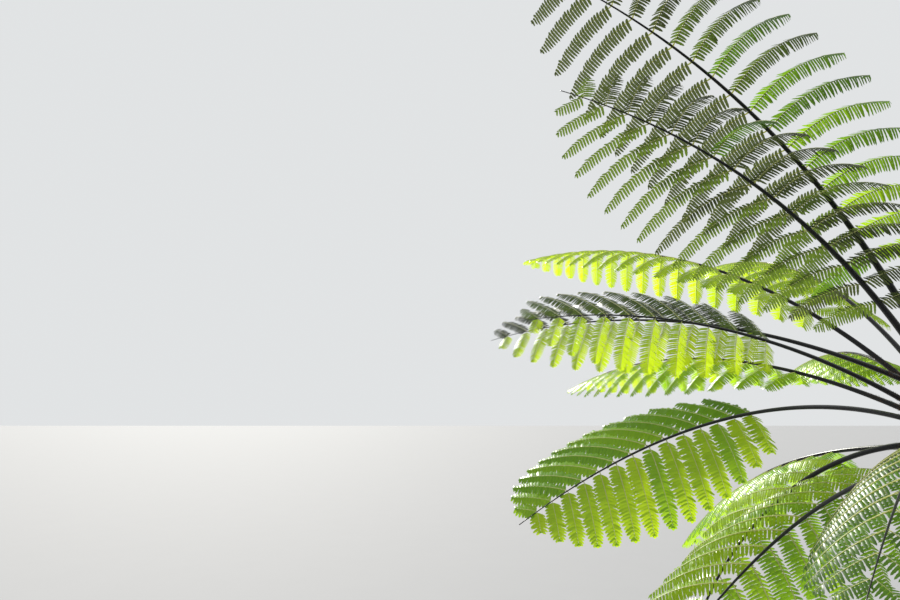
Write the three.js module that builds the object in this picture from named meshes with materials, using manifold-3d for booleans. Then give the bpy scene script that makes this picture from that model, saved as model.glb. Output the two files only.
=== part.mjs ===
// A tree fern: a slender leaning trunk on a flared foot, a full crown of arching fronds and the curled
// young fronds in its middle. Each frond is a tapering rib with a row of thin leaflets on either side,
// cut across at its bend into an inner and an outer half.
// Sizes are in millimetres and angles in degrees. +Z is up, the origin is the middle of the flat cut at
// ground level, and the photograph looks along +Y.
import * as THREE from 'three';
import Module from 'manifold-3d';

const wasm = await Module();
wasm.setup();

const TRUNK = {
  crown: 2300, // height that the feet of the fronds are measured from
  shoulder: 2330, // where the rounded top begins to close
  tip: 2465,
  radius: 84, // of the slender middle
  footRadius: 168, // of the flared foot at ground level
  flareHeight: 260, // height in which the flare falls to about a third
  swell: 12, // extra radius where the fronds stand
  swellAt: 2230,
  swellHeight: 190,
  lean: new THREE.Vector2(72, -54), // how far the crown stands from over the foot
  leanPower: 1.4,
  lobes: 5, // buttresses of matted roots round the foot
  lobeDepth: 0.1,
  sides: 18,
  levels: [0, 45, 120, 230, 380, 620, 1000, 1450, 1850, 2100, 2230, 2330],
  domeTurns: [25, 48, 68], // angles of the rings of the rounded top
};

const GAP = 0.3; // left between a frond and what carries it
const CUTTER_SHARE = 1.1; // the cutter grows by more than the gap, as its faces are flat between corners
const PINNA_CLEAR = 3; // left between a leaflet and any other frond

const RIB = {
  steps: 96, // steps of the sum that lays out a rib
  bend: 1.2, // the arch grows with this power of the way along
  reach: 95, // distance of the foot from the trunk's axis
  sink: 60, // length run back into the trunk before the foot is cut
  taper: 1.2,
  tipRadius: 1.5,
  corner: 1.35, // distance of its three corners from its middle, in radii
  bareStops: [0, 0.33, 0.67], // rings of the bare stalk, as shares of its length
  split: 0.58, // share of the length where the bend is cut across
};

const PINNA = {
  spacing: 130, // of the pairs along the blade, on average
  length: 440, // of the longest on a frond of the usual length
  usualFrond: 2700,
  lengthPower: 0.3, // and how far it goes with the length of the frond
  thick: 5.8, // a hundredth of the longest of all
  fill: 0.86, // width as a share of the room between two ribs of leaflets
  rootShare: 0.42, // width of its root on the rib, as a share of the spacing
  crowding: 0.22, // how much closer the leaflets stand towards the tip
  last: 0.985, // where the last pair stands, as a share of the rib
  forward: 72, // angle to the rib at the base of the blade
  forwardFall: 15, // and how much less it is at the tip
  sag: 55, // further bend under its own weight
  sagLength: 450, // a leaflet shorter than this bends less
  steps: 8,
  longStops: [[0.14, 0.92], [0.74, 0.8]], // way along and share of the width
  shortStops: [[0.45, 0.88]],
  shortFrom: 0.6, // share of the blade past which the leaflets are short ones
  outline: [
    [0, 0.55], [0.1, 0.68], [0.25, 0.9], [0.42, 1], [0.6, 0.94], [0.75, 0.79], [0.88, 0.53], [0.96, 0.26],
    [1, 0.08],
  ],
  cutBack: [1, 0.8, 0.62, 0.46], // lengths tried where a neighbour is near
};

// The fronds that the photograph shows, from the lines read there. Droop, leaflet and pitch are those of
// the leaflets: how far they hang at the root, and their length and spacing as shares of the usual.
const SEEN = [
  {
    azimuth: 207, rise: 14, arch: 43, sweep: -2, length: 2700, lift: -80, roll: -38,
    bare: 0.545, foot: 16, droop: 2, leaflet: 0.74, pitch: 0.65,
  },
  {
    azimuth: 212, rise: 43.3, arch: 43, sweep: -4, length: 2850, lift: 26, roll: 14,
    bare: 0.27, foot: 20, droop: -4, leaflet: 1.15,
  },
  {
    azimuth: 205.8, rise: 56.2, arch: 53.5, sweep: 2.4, length: 3170, lift: 112, roll: 30,
    bare: 0.26, foot: 20, droop: 10, leaflet: 1.25,
  },
  {
    azimuth: 229, rise: 11, arch: 37, sweep: -3, length: 2550, lift: -140, roll: 0,
    bare: 0.25, foot: 16, droop: 12, leaflet: 1,
  },
  {
    azimuth: 185, rise: 32, arch: 41.4, sweep: 0, length: 2350, lift: -35, roll: -48,
    bare: 0.42, foot: 16, droop: -5, leaflet: 0.9,
  },
  {
    azimuth: 173, rise: 28, arch: 44, sweep: 0, length: 2450, lift: 115, roll: -45,
    bare: 0.38, foot: 16, droop: -5, leaflet: 0.9,
  },
  {
    azimuth: 194, rise: 4, arch: 92, sweep: 0, length: 2400, lift: -125, roll: -30,
    bare: 0.27, foot: 16, droop: 12, leaflet: 1,
  },
  {
    azimuth: 213, rise: 3, arch: 36, sweep: 1, length: 2550, lift: -215, roll: -30,
    bare: 0.27, foot: 16, droop: 12, leaflet: 1,
  },
];

// The rest of the crown stands in three tiers, taken in turn on the way round
const HIDDEN = {
  count: 16, first: 251, step: 16.8, azimuthPlay: 3, risePlay: 5, lengthPlay: 150, sweepPlay: 5,
  rollPlay: 14, leaflet: 1.06,
};
const TIERS = [
  { rise: 50, arch: 60, length: 3050, lift: 42, bare: 0.26, foot: 18, droop: 0 },
  { rise: 4, arch: 50, length: 2600, lift: -150, bare: 0.26, foot: 16, droop: 10 },
  { rise: 27, arch: 52, length: 2850, lift: -35, bare: 0.27, foot: 17, droop: 4 },
];

// Young fronds still rolled up, which stand on the rounded top of the trunk
const CROZIERS = [
  { azimuth: 20, height: 290, lean: 9 },
  { azimuth: 140, height: 410, lean: 8 },
  { azimuth: 262, height: 530, lean: 7 },
];
const CURL = {
  foot: 26, // distance of the foot from the trunk's axis
  sink: 40,
  footRadius: 15,
  neckRadius: 11,
  endRadius: 4,
  stemRings: 4,
  coilRings: 15,
  coilTurns: 1.3,
  coilRadius: 44,
  coilEnd: 13,
  sides: 5,
};

const LEAF_GREEN = new THREE.MeshStandardMaterial({ color: 0x5f8a2c, roughness: 0.55, metalness: 0 });
const STALK_BLACK = new THREE.MeshStandardMaterial({ color: 0x2a2522, roughness: 0.6, metalness: 0 });
const TRUNK_BROWN = new THREE.MeshStandardMaterial({ color: 0x4a3a2c, roughness: 0.9, metalness: 0 });

const UP = new THREE.Vector3(0, 0, 1);
const radians = THREE.MathUtils.degToRad;
const lerp = THREE.MathUtils.lerp;

// A number from -1 to 1 that is always the same for one frond and one use
function vary(index, use) {
  const wave = Math.sin(index * 12.9898 + use * 78.233) * 43758.5453;
  return 2 * (wave - Math.floor(wave)) - 1;
}

// The value of a curve given by stops [place, value], straight between them
function along(stops, place) {
  for (let k = 1; k < stops.length; k += 1) {
    const [before, low] = stops[k - 1];
    const [after, high] = stops[k];
    if (place <= after) return lerp(low, high, (place - before) / (after - before));
  }
  return stops.at(-1)[1];
}

// The surface of one closed body, laid down ring by ring, each ring running the same way round
class Skin {
  constructor() {
    this.points = [];
    this.faces = [];
  }

  ring(points) {
    const first = this.points.length;
    this.points.push(...points);
    return points.map((_, k) => first + k);
  }

  quad(a, b, c, d) {
    this.faces.push([a, b, c], [a, c, d]);
  }

  band(from, to) {
    from.forEach((a, k) => {
      const next = (k + 1) % from.length;
      this.quad(a, from[next], to[next], to[k]);
    });
  }

  cap(ring) {
    for (let k = 2; k < ring.length; k += 1) this.faces.push([ring[0], ring[k - 1], ring[k]]);
  }

  close(ring, tip) {
    const [end] = this.ring([tip]);
    ring.forEach((a, k) => this.faces.push([a, ring[(k + 1) % ring.length], end]));
  }

  solid() {
    const vertProperties = new Float32Array(this.points.flatMap((p) => [p.x, p.y, p.z]));
    const triVerts = new Uint32Array(this.faces.flat());
    return new wasm.Manifold(new wasm.Mesh({ numProp: 3, vertProperties, triVerts }));
  }
}

function geometryOf(solid) {
  const mesh = solid.getMesh();
  const geometry = new THREE.BufferGeometry();
  geometry.setAttribute('position', new THREE.BufferAttribute(mesh.vertProperties, 3));
  geometry.setIndex(new THREE.BufferAttribute(mesh.triVerts, 1));
  geometry.computeVertexNormals();
  return geometry;
}

// Trunk

function trunkAxis(z) {
  const share = (z / TRUNK.crown) ** TRUNK.leanPower;
  return new THREE.Vector3(TRUNK.lean.x * share, TRUNK.lean.y * share, z);
}

function trunkRadius(z) {
  const flare = (TRUNK.footRadius - TRUNK.radius) * Math.exp(-z / TRUNK.flareHeight);
  const swell = TRUNK.swell * Math.exp(-(((z - TRUNK.swellAt) / TRUNK.swellHeight) ** 2));
  return TRUNK.radius + flare + swell;
}

function trunkRing(z, radius, grow) {
  const centre = trunkAxis(z);
  const depth = TRUNK.lobeDepth * Math.exp(-z / TRUNK.flareHeight);
  return Array.from({ length: TRUNK.sides }, (_, k) => {
    const turn = (2 * Math.PI * k) / TRUNK.sides;
    const out = radius * (1 + depth * Math.cos(TRUNK.lobes * turn)) + grow;
    return new THREE.Vector3(centre.x + out * Math.cos(turn), centre.y + out * Math.sin(turn), z);
  });
}

// The trunk, or a copy of it that stands a little larger on every side for cutting its neighbours
function trunkSolid(grow = 0) {
  const skin = new Skin();
  const rings = TRUNK.levels.map((z) => skin.ring(trunkRing(z, trunkRadius(z), grow)));
  const shoulderRadius = trunkRadius(TRUNK.shoulder);
  for (const turn of TRUNK.domeTurns) {
    const z = lerp(TRUNK.shoulder, TRUNK.tip + grow, Math.sin(radians(turn)));
    rings.push(skin.ring(trunkRing(z, shoulderRadius * Math.cos(radians(turn)), grow)));
  }
  skin.cap([...rings[0]].reverse());
  rings.slice(1).forEach((ring, k) => skin.band(rings[k], ring));
  skin.close(rings.at(-1), trunkAxis(TRUNK.tip + grow));
  return skin.solid();
}

// Ribs: place and directions at a share of the length

function layOutRib(frond) {
  const places = [];
  const directions = [];
  for (let k = 0; k <= RIB.steps; k += 1) {
    const t = k / RIB.steps;
    const rise = radians(frond.rise - frond.arch * t ** RIB.bend);
    const turn = radians(frond.azimuth + frond.sweep * t);
    directions.push(new THREE.Vector3(
      Math.cos(rise) * Math.cos(turn),
      Math.cos(rise) * Math.sin(turn),
      Math.sin(rise),
    ));
  }
  const turn = radians(frond.azimuth);
  const foot = trunkAxis(TRUNK.crown + frond.lift);
  foot.add(new THREE.Vector3(Math.cos(turn), Math.sin(turn), 0).multiplyScalar(RIB.reach));
  places.push(foot);
  for (let k = 1; k <= RIB.steps; k += 1) {
    const step = directions[k - 1].clone().add(directions[k]).multiplyScalar(frond.length / RIB.steps / 2);
    places.push(places[k - 1].clone().add(step));
  }
  return { frond, places, directions };
}

// Place, forward direction, right-hand side and upper side of the rib at share t, which may lie before 0
function ribFrame(rib, t) {
  const { frond, places, directions } = rib;
  const turn = radians(frond.azimuth + frond.sweep * Math.max(t, 0));
  let place;
  let forward;
  if (t <= 0) {
    forward = directions[0].clone();
    place = places[0].clone().addScaledVector(forward, t * frond.length);
  } else {
    const step = Math.min(Math.floor(t * RIB.steps), RIB.steps - 1);
    const part = t * RIB.steps - step;
    place = places[step].clone().lerp(places[step + 1], part);
    forward = directions[step].clone().lerp(directions[step + 1], part).normalize();
  }
  const level = new THREE.Vector3(Math.sin(turn), -Math.cos(turn), 0);
  const upper = level.clone().cross(forward);
  const roll = radians(frond.roll);
  const side = level.clone().multiplyScalar(Math.cos(roll)).addScaledVector(upper, -Math.sin(roll));
  const top = upper.clone().multiplyScalar(Math.cos(roll)).addScaledVector(level, Math.sin(roll));
  return { place, forward, side, top };
}

function ribRadius(frond, t) {
  return frond.foot * (1 - Math.max(t, 0)) ** RIB.taper + RIB.tipRadius;
}

// The three-sided ring of a rib: upper left, upper right and lower edge
function ribRing(rib, t) {
  const { place, side, top } = ribFrame(rib, t);
  const out = RIB.corner * ribRadius(rib.frond, t);
  const corner = (right, up) => place.clone()
    .addScaledVector(side, right * out)
    .addScaledVector(top, up * out);
  return [corner(-0.87, 0.5), corner(0.87, 0.5), corner(0, -1)];
}

// Where the pairs of leaflets stand: share of the rib, share of the blade, spacing and ends of the roots
function pairPlaces(frond) {
  const blade = PINNA.last - frond.bare;
  const pairs = Math.round((blade * frond.length) / (PINNA.spacing * (frond.pitch ?? 1)));
  return Array.from({ length: pairs }, (_, pair) => {
    const share = (pair + 0.4) / pairs;
    const u = share * (1 + PINNA.crowding - PINNA.crowding * share);
    const pitch = (blade * (1 + PINNA.crowding - 2 * PINNA.crowding * share)) / pairs;
    const t = frond.bare + blade * u;
    const half = (pitch * PINNA.rootShare) / 2;
    return { t, u, spacing: pitch * frond.length, from: t - half, to: t + half };
  });
}

// The middle line of a leaflet, which leaves the rib forwards and bends down under its own weight, with
// the direction across its blade at each step
function pinnaLine(rib, pair, side, length) {
  const frame = ribFrame(rib, pair.t);
  const lean = radians(PINNA.forward - PINNA.forwardFall * pair.u);
  const droop = radians(rib.frond.droop);
  const heading = frame.forward.clone().multiplyScalar(Math.cos(lean) * Math.cos(droop));
  heading.addScaledVector(frame.side, side * Math.sin(lean) * Math.cos(droop));
  heading.addScaledVector(frame.top, -Math.sin(droop));
  const bend = (radians(PINNA.sag) / PINNA.steps) * Math.min(1, length / PINNA.sagLength);
  const places = [frame.place];
  const across = [squareTo(frame.forward, heading)];
  for (let k = 0; k < PINNA.steps; k += 1) {
    const pull = UP.clone().negate().addScaledVector(heading, heading.z);
    const strength = pull.length();
    const turn = bend * strength;
    heading.multiplyScalar(Math.cos(turn)).addScaledVector(pull, Math.sin(turn) / Math.max(strength, 1e-6));
    places.push(places[k].clone().addScaledVector(heading, length / PINNA.steps));
    across.push(squareTo(across[k], heading));
  }
  return { places, across };
}

function squareTo(direction, axis) {
  return direction.clone().addScaledVector(axis, -direction.dot(axis)).normalize();
}

// The four-cornered rings of a leaflet past its root, and its tip. The ring runs the way round that the
// root does on its side of the rib.
function pinnaRings(rib, pair, side, share, grow = 0) {
  const { length: ribLength, leaflet } = rib.frond;
  const longest = PINNA.length * leaflet * (ribLength / PINNA.usualFrond) ** PINNA.lengthPower;
  const length = longest * along(PINNA.outline, pair.u) * share;
  const lean = radians(PINNA.forward - PINNA.forwardFall * pair.u);
  const width = pair.spacing * Math.sin(lean) * PINNA.fill * Math.sqrt(share);
  const { places, across } = pinnaLine(rib, pair, side, length);
  const stops = pair.u < PINNA.shortFrom ? PINNA.longStops : PINNA.shortStops;
  const rings = stops.map(([way, part]) => {
    const step = Math.min(Math.floor(way * PINNA.steps), PINNA.steps - 1);
    const centre = places[step].clone().lerp(places[step + 1], way * PINNA.steps - step);
    const wide = across[step + 1].clone();
    const heading = places[step + 1].clone().sub(places[step]).normalize();
    const upper = heading.cross(wide).multiplyScalar(side);
    const corner = (forward, up) => centre.clone()
      .addScaledVector(wide, forward * (width * part / 2 + grow))
      .addScaledVector(upper, up * (PINNA.thick / 2 + grow));
    const ring = [corner(-1, 1), corner(-1, -1), corner(1, -1), corner(1, 1)];
    return side > 0 ? ring : [ring[1], ring[0], ring[3], ring[2]];
  });
  return { rings, tip: places.at(-1) };
}

// The root of a leaflet on the rib, between the rib's rings at its two ends
function rootCorners(back, front, side) {
  return side > 0 ? [back[1], back[2], front[2], front[1]] : [back[2], back[0], front[0], front[2]];
}

// A leaflet alone, larger by the clearance, for finding out whether it has room
function pinnaProbe(rib, pair, side, share, grow) {
  const skin = new Skin();
  const roots = rootCorners(ribRing(rib, pair.from), ribRing(rib, pair.to), side);
  const { rings, tip } = pinnaRings(rib, pair, side, share, grow);
  let last = skin.ring(roots);
  skin.cap([...last].reverse());
  for (const ring of rings) {
    const next = skin.ring(ring);
    skin.band(last, next);
    last = next;
  }
  skin.close(last, tip);
  return skin.solid();
}

// One stretch of a frond from share `from` to share `to`, with its leaflets grown out of the rib. The
// stretch ends in a point where it reaches the tip.
function frondStretch(rib, from, to, pairs) {
  const skin = new Skin();
  const { bare } = rib.frond;
  const stalk = RIB.bareStops.map((share) => share * bare).filter((t) => t > from && t < to);
  const start = skin.ring(ribRing(rib, from));
  skin.cap([...start].reverse());
  let last = start;
  const grow = (t) => {
    const next = skin.ring(ribRing(rib, t));
    skin.band(last, next);
    last = next;
  };
  stalk.forEach(grow);
  for (const pair of pairs) {
    grow(pair.from);
    const back = last;
    const front = skin.ring(ribRing(rib, pair.to));
    skin.quad(back[0], back[1], front[1], front[0]);
    for (const side of [1, -1]) {
      const root = rootCorners(back, front, side);
      const share = side > 0 ? pair.right : pair.left;
      if (share) growPinna(skin, root, pinnaRings(rib, pair, side, share));
      else skin.quad(...root);
    }
    last = front;
  }
  if (to < 1) {
    grow(to);
    skin.cap(last);
  } else {
    skin.close(last, ribFrame(rib, 1).place);
  }
  return skin.solid();
}

function growPinna(skin, root, { rings, tip }) {
  let last = root;
  for (const ring of rings) {
    const next = skin.ring(ring);
    skin.band(last, next);
    last = next;
  }
  skin.close(last, tip);
}

// Finding room: what stands already, and whether a probe is clear of it

class Neighbours {
  constructor() {
    this.solids = [];
  }

  add(solid, owner) {
    this.solids.push({ solid, owner, box: boxOf(solid) });
  }

  clear(probe, isCounted) {
    const box = boxOf(probe);
    return this.solids.every((other) => {
      if (!isCounted(other.owner) || !box.intersectsBox(other.box)) return true;
      const shared = probe.intersect(other.solid);
      const apart = shared.isEmpty();
      shared.delete();
      return apart;
    });
  }
}

function boxOf(solid) {
  const { min, max } = solid.boundingBox();
  return new THREE.Box3(new THREE.Vector3(...min), new THREE.Vector3(...max));
}

// The longest of the tried lengths at which a leaflet is clear of the other fronds and of its own
// frond's leaflets, or 0 where even the shortest is not
function roomFor(rib, pair, side, owner, neighbours) {
  for (const share of PINNA.cutBack) {
    const wide = pinnaProbe(rib, pair, side, share, PINNA_CLEAR);
    const real = pinnaProbe(rib, pair, side, share, 0);
    const fits = neighbours.clear(wide, (other) => other !== owner && other !== `${owner} rib`)
      && neighbours.clear(real, (other) => other === owner);
    wide.delete();
    if (fits) {
      neighbours.add(real, owner);
      return share;
    }
    real.delete();
  }
  return 0;
}

function hiddenFrond(index) {
  const tier = TIERS[index % TIERS.length];
  return {
    ...tier,
    azimuth: HIDDEN.first + HIDDEN.step * index + HIDDEN.azimuthPlay * vary(index, 1),
    rise: tier.rise + HIDDEN.risePlay * vary(index, 2),
    length: tier.length + HIDDEN.lengthPlay * vary(index, 3),
    sweep: HIDDEN.sweepPlay * vary(index, 4),
    roll: HIDDEN.rollPlay * vary(index, 5),
    leaflet: HIDDEN.leaflet,
  };
}

// Croziers: a stem that leans a little outwards and rolls up towards the middle of the crown

function crozierSolid({ azimuth, height, lean }) {
  const skin = new Skin();
  const out = new THREE.Vector3(Math.cos(radians(azimuth)), Math.sin(radians(azimuth)), 0);
  const binormal = UP.clone().cross(out);
  const rise = UP.clone()
    .multiplyScalar(Math.cos(radians(lean)))
    .addScaledVector(out, Math.sin(radians(lean)));
  const inward = rise.clone().cross(binormal);
  const foot = trunkAxis(TRUNK.tip).addScaledVector(out, CURL.foot).addScaledVector(rise, -CURL.sink);
  const stem = height + CURL.sink - CURL.coilRadius;
  const centre = foot.clone().addScaledVector(rise, stem).addScaledVector(inward, CURL.coilRadius);
  const ringAt = (place, away, radius) => skin.ring(Array.from({ length: CURL.sides }, (_, k) => {
    const turn = (2 * Math.PI * k) / CURL.sides;
    return place.clone()
      .addScaledVector(away, radius * Math.cos(turn))
      .addScaledVector(binormal, radius * Math.sin(turn));
  }));
  const rings = [];
  for (let k = 0; k < CURL.stemRings; k += 1) {
    const share = k / CURL.stemRings;
    const place = foot.clone().addScaledVector(rise, stem * share);
    rings.push(ringAt(place, inward.clone().negate(), lerp(CURL.footRadius, CURL.neckRadius, share)));
  }
  for (let k = 0; k <= CURL.coilRings; k += 1) {
    const share = k / CURL.coilRings;
    const turn = 2 * Math.PI * CURL.coilTurns * share;
    const away = inward.clone().multiplyScalar(-Math.cos(turn)).addScaledVector(rise, Math.sin(turn));
    const place = centre.clone().addScaledVector(away, lerp(CURL.coilRadius, CURL.coilEnd, share));
    rings.push(ringAt(place, away, lerp(CURL.neckRadius, CURL.endRadius, share)));
  }
  skin.cap([...rings[0]].reverse());
  rings.slice(1).forEach((ring, k) => skin.band(rings[k], ring));
  skin.cap(rings.at(-1));
  return skin.solid();
}

// Assembly

const fern = new THREE.Group();
fern.name = 'tree_fern';

function addMesh(name, solid, material) {
  const mesh = new THREE.Mesh(geometryOf(solid), material.clone());
  mesh.name = name;
  fern.add(mesh);
}

const trunk = trunkSolid();
const trunkCutter = trunkSolid(GAP * CUTTER_SHARE);
addMesh('trunk', trunk, TRUNK_BROWN);

const neighbours = new Neighbours();
neighbours.add(trunk, 'trunk');
CROZIERS.forEach((plan, k) => {
  const crozier = crozierSolid(plan).subtract(trunkCutter);
  neighbours.add(crozier, 'crozier');
  addMesh(`crozier_${k + 1}`, crozier, STALK_BLACK);
});

const hidden = Array.from({ length: HIDDEN.count }, (_, index) => hiddenFrond(index));
const ribs = [...SEEN, ...hidden].map(layOutRib);
const names = ribs.map((_, k) => `frond_${String(k + 1).padStart(2, '0')}`);
const footShare = (rib) => -RIB.sink / rib.frond.length;
ribs.forEach((rib, k) => {
  const bareRib = frondStretch(rib, footShare(rib), 1, pairPlaces(rib.frond));
  neighbours.add(bareRib, `${names[k]} rib`);
});

ribs.forEach((rib, k) => {
  const pairs = pairPlaces(rib.frond);
  for (const pair of pairs) {
    pair.right = roomFor(rib, pair, 1, names[k], neighbours);
    pair.left = roomFor(rib, pair, -1, names[k], neighbours);
  }
  const outerPairs = pairs.filter((pair) => pair.t > RIB.split);
  const innerPairs = pairs.filter((pair) => pair.t <= RIB.split);
  const cut = (innerPairs.at(-1).to + outerPairs[0].from) / 2;
  const halfGap = GAP / 2 / rib.frond.length;
  const inner = frondStretch(rib, footShare(rib), cut - halfGap, innerPairs).subtract(trunkCutter);
  addMesh(`${names[k]}_inner`, inner, LEAF_GREEN);
  addMesh(`${names[k]}_outer`, frondStretch(rib, cut + halfGap, 1, outerPairs), LEAF_GREEN);
});

export default fern;
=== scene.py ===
"""The finished tree fern: bark and matted roots on its trunk, and fronds carried on to their finest lobes.

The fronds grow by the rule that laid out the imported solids: a rib that rises and arches over, leaflets in
pairs along it that bend down under their own weight, and on each leaflet a comb of narrow lobed blades.
Metres and degrees. +Z is up, the origin is the middle of the flat cut at ground level, and the camera
looks along +Y.
"""

import logging
import math
from dataclasses import dataclass, field, replace
from enum import Enum

import bpy
import numpy as np
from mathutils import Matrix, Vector


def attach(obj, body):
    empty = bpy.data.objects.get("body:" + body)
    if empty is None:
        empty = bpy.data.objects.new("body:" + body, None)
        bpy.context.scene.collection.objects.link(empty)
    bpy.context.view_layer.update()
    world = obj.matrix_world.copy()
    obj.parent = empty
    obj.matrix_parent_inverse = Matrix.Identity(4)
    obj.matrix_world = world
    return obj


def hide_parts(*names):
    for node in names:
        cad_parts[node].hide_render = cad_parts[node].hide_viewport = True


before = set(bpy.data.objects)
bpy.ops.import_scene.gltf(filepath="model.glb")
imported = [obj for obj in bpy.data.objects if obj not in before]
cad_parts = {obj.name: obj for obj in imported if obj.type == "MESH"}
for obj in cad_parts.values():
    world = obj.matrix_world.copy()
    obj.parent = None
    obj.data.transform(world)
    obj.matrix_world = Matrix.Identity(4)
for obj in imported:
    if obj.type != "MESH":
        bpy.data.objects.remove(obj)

log = logging.getLogger("tree_fern")

Array = np.ndarray
Pair = tuple[float, float]
Triple = tuple[float, float, float]
Stops = tuple[Pair, ...]

UP = np.array((0.0, 0.0, 1.0))
MOST_TRIANGLES = 190_000
WAVE_BY_INDEX, WAVE_BY_USE, WAVE_HEIGHT = 12.9898, 78.233, 43758.5453
MIX_FIRST, MIX_SECOND, MIX_RESULT = 6, 7, 2  # numbers of a Mix node's colour sockets


def vary(index: int, use: int) -> float:
    """Give a number from -1 to 1 that is always the same for one frond and one use.

    Args:
        index: number of the frond.
        use: number of the thing that varies.

    Returns:
        the fraction of a fast sine, spread from -1 to 1.
    """
    wave = math.sin(index * WAVE_BY_INDEX + use * WAVE_BY_USE) * WAVE_HEIGHT
    return 2.0 * (wave - math.floor(wave)) - 1.0


def along(stops: Stops, place: Array) -> Array:
    """Read a curve that runs straight between stops of (place, value)."""
    places, values = zip(*stops)
    return np.interp(place, places, values)


def unit(vectors: Array) -> Array:
    """Scale vectors to length one along their last axis."""
    return vectors / np.maximum(np.linalg.norm(vectors, axis=-1, keepdims=True), 1e-9)


def square_to(direction: Array, axis: Array) -> Array:
    """Take from a direction what lies along an axis, and scale the rest to length one."""
    return unit(direction - axis * np.sum(direction * axis, axis=-1, keepdims=True))


def ease(low: float, high: float, value: Array) -> Array:
    """Rise smoothly from 0 at low to 1 at high, as 3x^2 - 2x^3."""
    part = np.clip((value - low) / (high - low), 0.0, 1.0)
    return part * part * (3.0 - 2.0 * part)


def outwards(turn: Array) -> Array:
    """Give the level direction at a turn about +Z, in radians."""
    return np.stack([np.cos(turn), np.sin(turn), turn * 0.0], axis=-1)


def directions(centres: Array, upwards: Array) -> tuple[Array, Array, Array]:
    """Give the directions along middle lines.

    Args:
        centres: middle lines, as (..., rings, 3).
        upwards: rough upper directions there.

    Returns:
        the forward, right-hand and upper directions, square to each other.
    """
    forward = unit(np.gradient(centres, axis=-2))
    tops = square_to(upwards, forward)
    return forward, np.cross(forward, tops), tops


def copies(pattern: Array, count: int, size: int) -> Array:
    """Repeat the triangles of one shape for a count of shapes of so many points each."""
    return (pattern[None] + (np.arange(count) * size)[:, None, None]).reshape(-1, 3)


def grid_triangles(rows: int, columns: int, around: bool) -> Array:
    """List the triangles of a grid of points, row by row.

    Args:
        rows: number of rows of points.
        columns: number of points in a row.
        around: whether the last point of a row joins the first.

    Returns:
        triangles whose faces look outwards when a row runs clockwise, seen along the way of the rows.
    """
    row = np.arange(rows - 1)[:, None]
    column = np.arange(columns if around else columns - 1)[None, :]
    a = row * columns + column
    b = row * columns + (column + 1) % columns
    quads = np.stack([a, b, b + columns, a + columns], axis=-1).reshape(-1, 4)
    return np.concatenate([quads[:, [0, 1, 2]], quads[:, [0, 2, 3]]])


def shell_triangles(rings: int, corners: int) -> Array:
    """List the triangles of a closed tube, whose two middle points come after all its rings.

    Args:
        rings: number of rings.
        corners: number of points of a ring.

    Returns:
        triangles of the wall, of the first end and of the last end.
    """
    ring = np.arange(corners)
    after = (ring + 1) % corners
    last = (rings - 1) * corners
    foot = np.full(corners, rings * corners)
    start = np.stack([foot, after, ring], axis=-1)
    end = np.stack([foot + 1, last + ring, last + after], axis=-1)
    return np.concatenate([grid_triangles(rings, corners, around=True), start, end])


def tubes(centres: Array, sides: Array, tops: Array, radii: Array, corners: int,
          groove: Pair = (0.0, 1.0)) -> tuple[Array, Array]:
    """Sweep rings along many middle lines at once and close both ends.

    A ring's point at angle a lies at centre + r(a) (side cos a + top sin a). With a groove, r is smaller
    by depth * exp(-((sin a - 1) / width)^2), so where the ring looks up.

    Args:
        centres: middle lines, as (lines, rings, 3).
        sides: right-hand directions, seen along each line, in the same shape.
        tops: upper directions, in the same shape.
        radii: radius of each ring, as (lines, rings).
        corners: number of points of a ring.
        groove: depth and width of the groove along the top, as shares of the radius.

    Returns:
        points as (n, 3) and triangles as (m, 3).
    """
    lines, rings, _ = centres.shape
    depth, width = groove
    turn = -2.0 * np.pi * np.arange(corners) / corners
    dent = 1.0 - depth * np.exp(-(((np.sin(turn) - 1.0) / width) ** 2))
    across = (np.cos(turn) * dent)[None, None, :, None] * sides[:, :, None, :]
    upward = (np.sin(turn) * dent)[None, None, :, None] * tops[:, :, None, :]
    skin = centres[:, :, None, :] + radii[:, :, None, None] * (across + upward)
    points = np.concatenate([skin.reshape(lines, -1, 3), centres[:, :1], centres[:, -1:]], axis=1)
    return points.reshape(-1, 3), copies(shell_triangles(rings, corners), lines, points.shape[1])


class Slot(Enum):
    """Names of material slots, which each basket keeps but nothing applies."""

    BARK = "trunk_bark"
    LEAF = "frond_leaf"
    STALK = "stalk_scales"


@dataclass
class Basket:
    """Small surfaces of one finish, joined into pieces."""

    name: str
    material: bpy.types.Material
    slot: Slot
    points: list[Array] = field(default_factory=list)
    triangles: list[Array] = field(default_factory=list)
    nodes: set[str] = field(default_factory=set)

    def add(self, points: Array, triangles: Array, nodes: tuple[str, ...] = ()) -> None:
        """Put in a surface.

        Args:
            points: its points, as (n, 3).
            triangles: its triangles, as (m, 3).
            nodes: names of the model's nodes that it stands for.
        """
        if len(triangles):
            self.points.append(points)
            self.triangles.append(triangles)
            self.nodes.update(nodes)

    def join(self) -> None:
        """Make the pieces, each within the most triangles that a piece may have."""
        groups: list[list[int]] = [[]]
        count = 0
        for k, triangles in enumerate(self.triangles):
            if count + len(triangles) > MOST_TRIANGLES:
                groups.append([])
                count = 0
            groups[-1].append(k)
            count += len(triangles)
        for number, group in enumerate(filter(None, groups), start=1):
            starts = np.cumsum([0] + [len(self.points[k]) for k in group])
            points = np.concatenate([self.points[k] for k in group])
            triangles = np.concatenate([self.triangles[k] + start for k, start in zip(group, starts)])
            name = self.name if len(groups) == 1 else f"{self.name}_part_{number}"
            dress(name, points, triangles, self.material, sorted(self.nodes))


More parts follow.
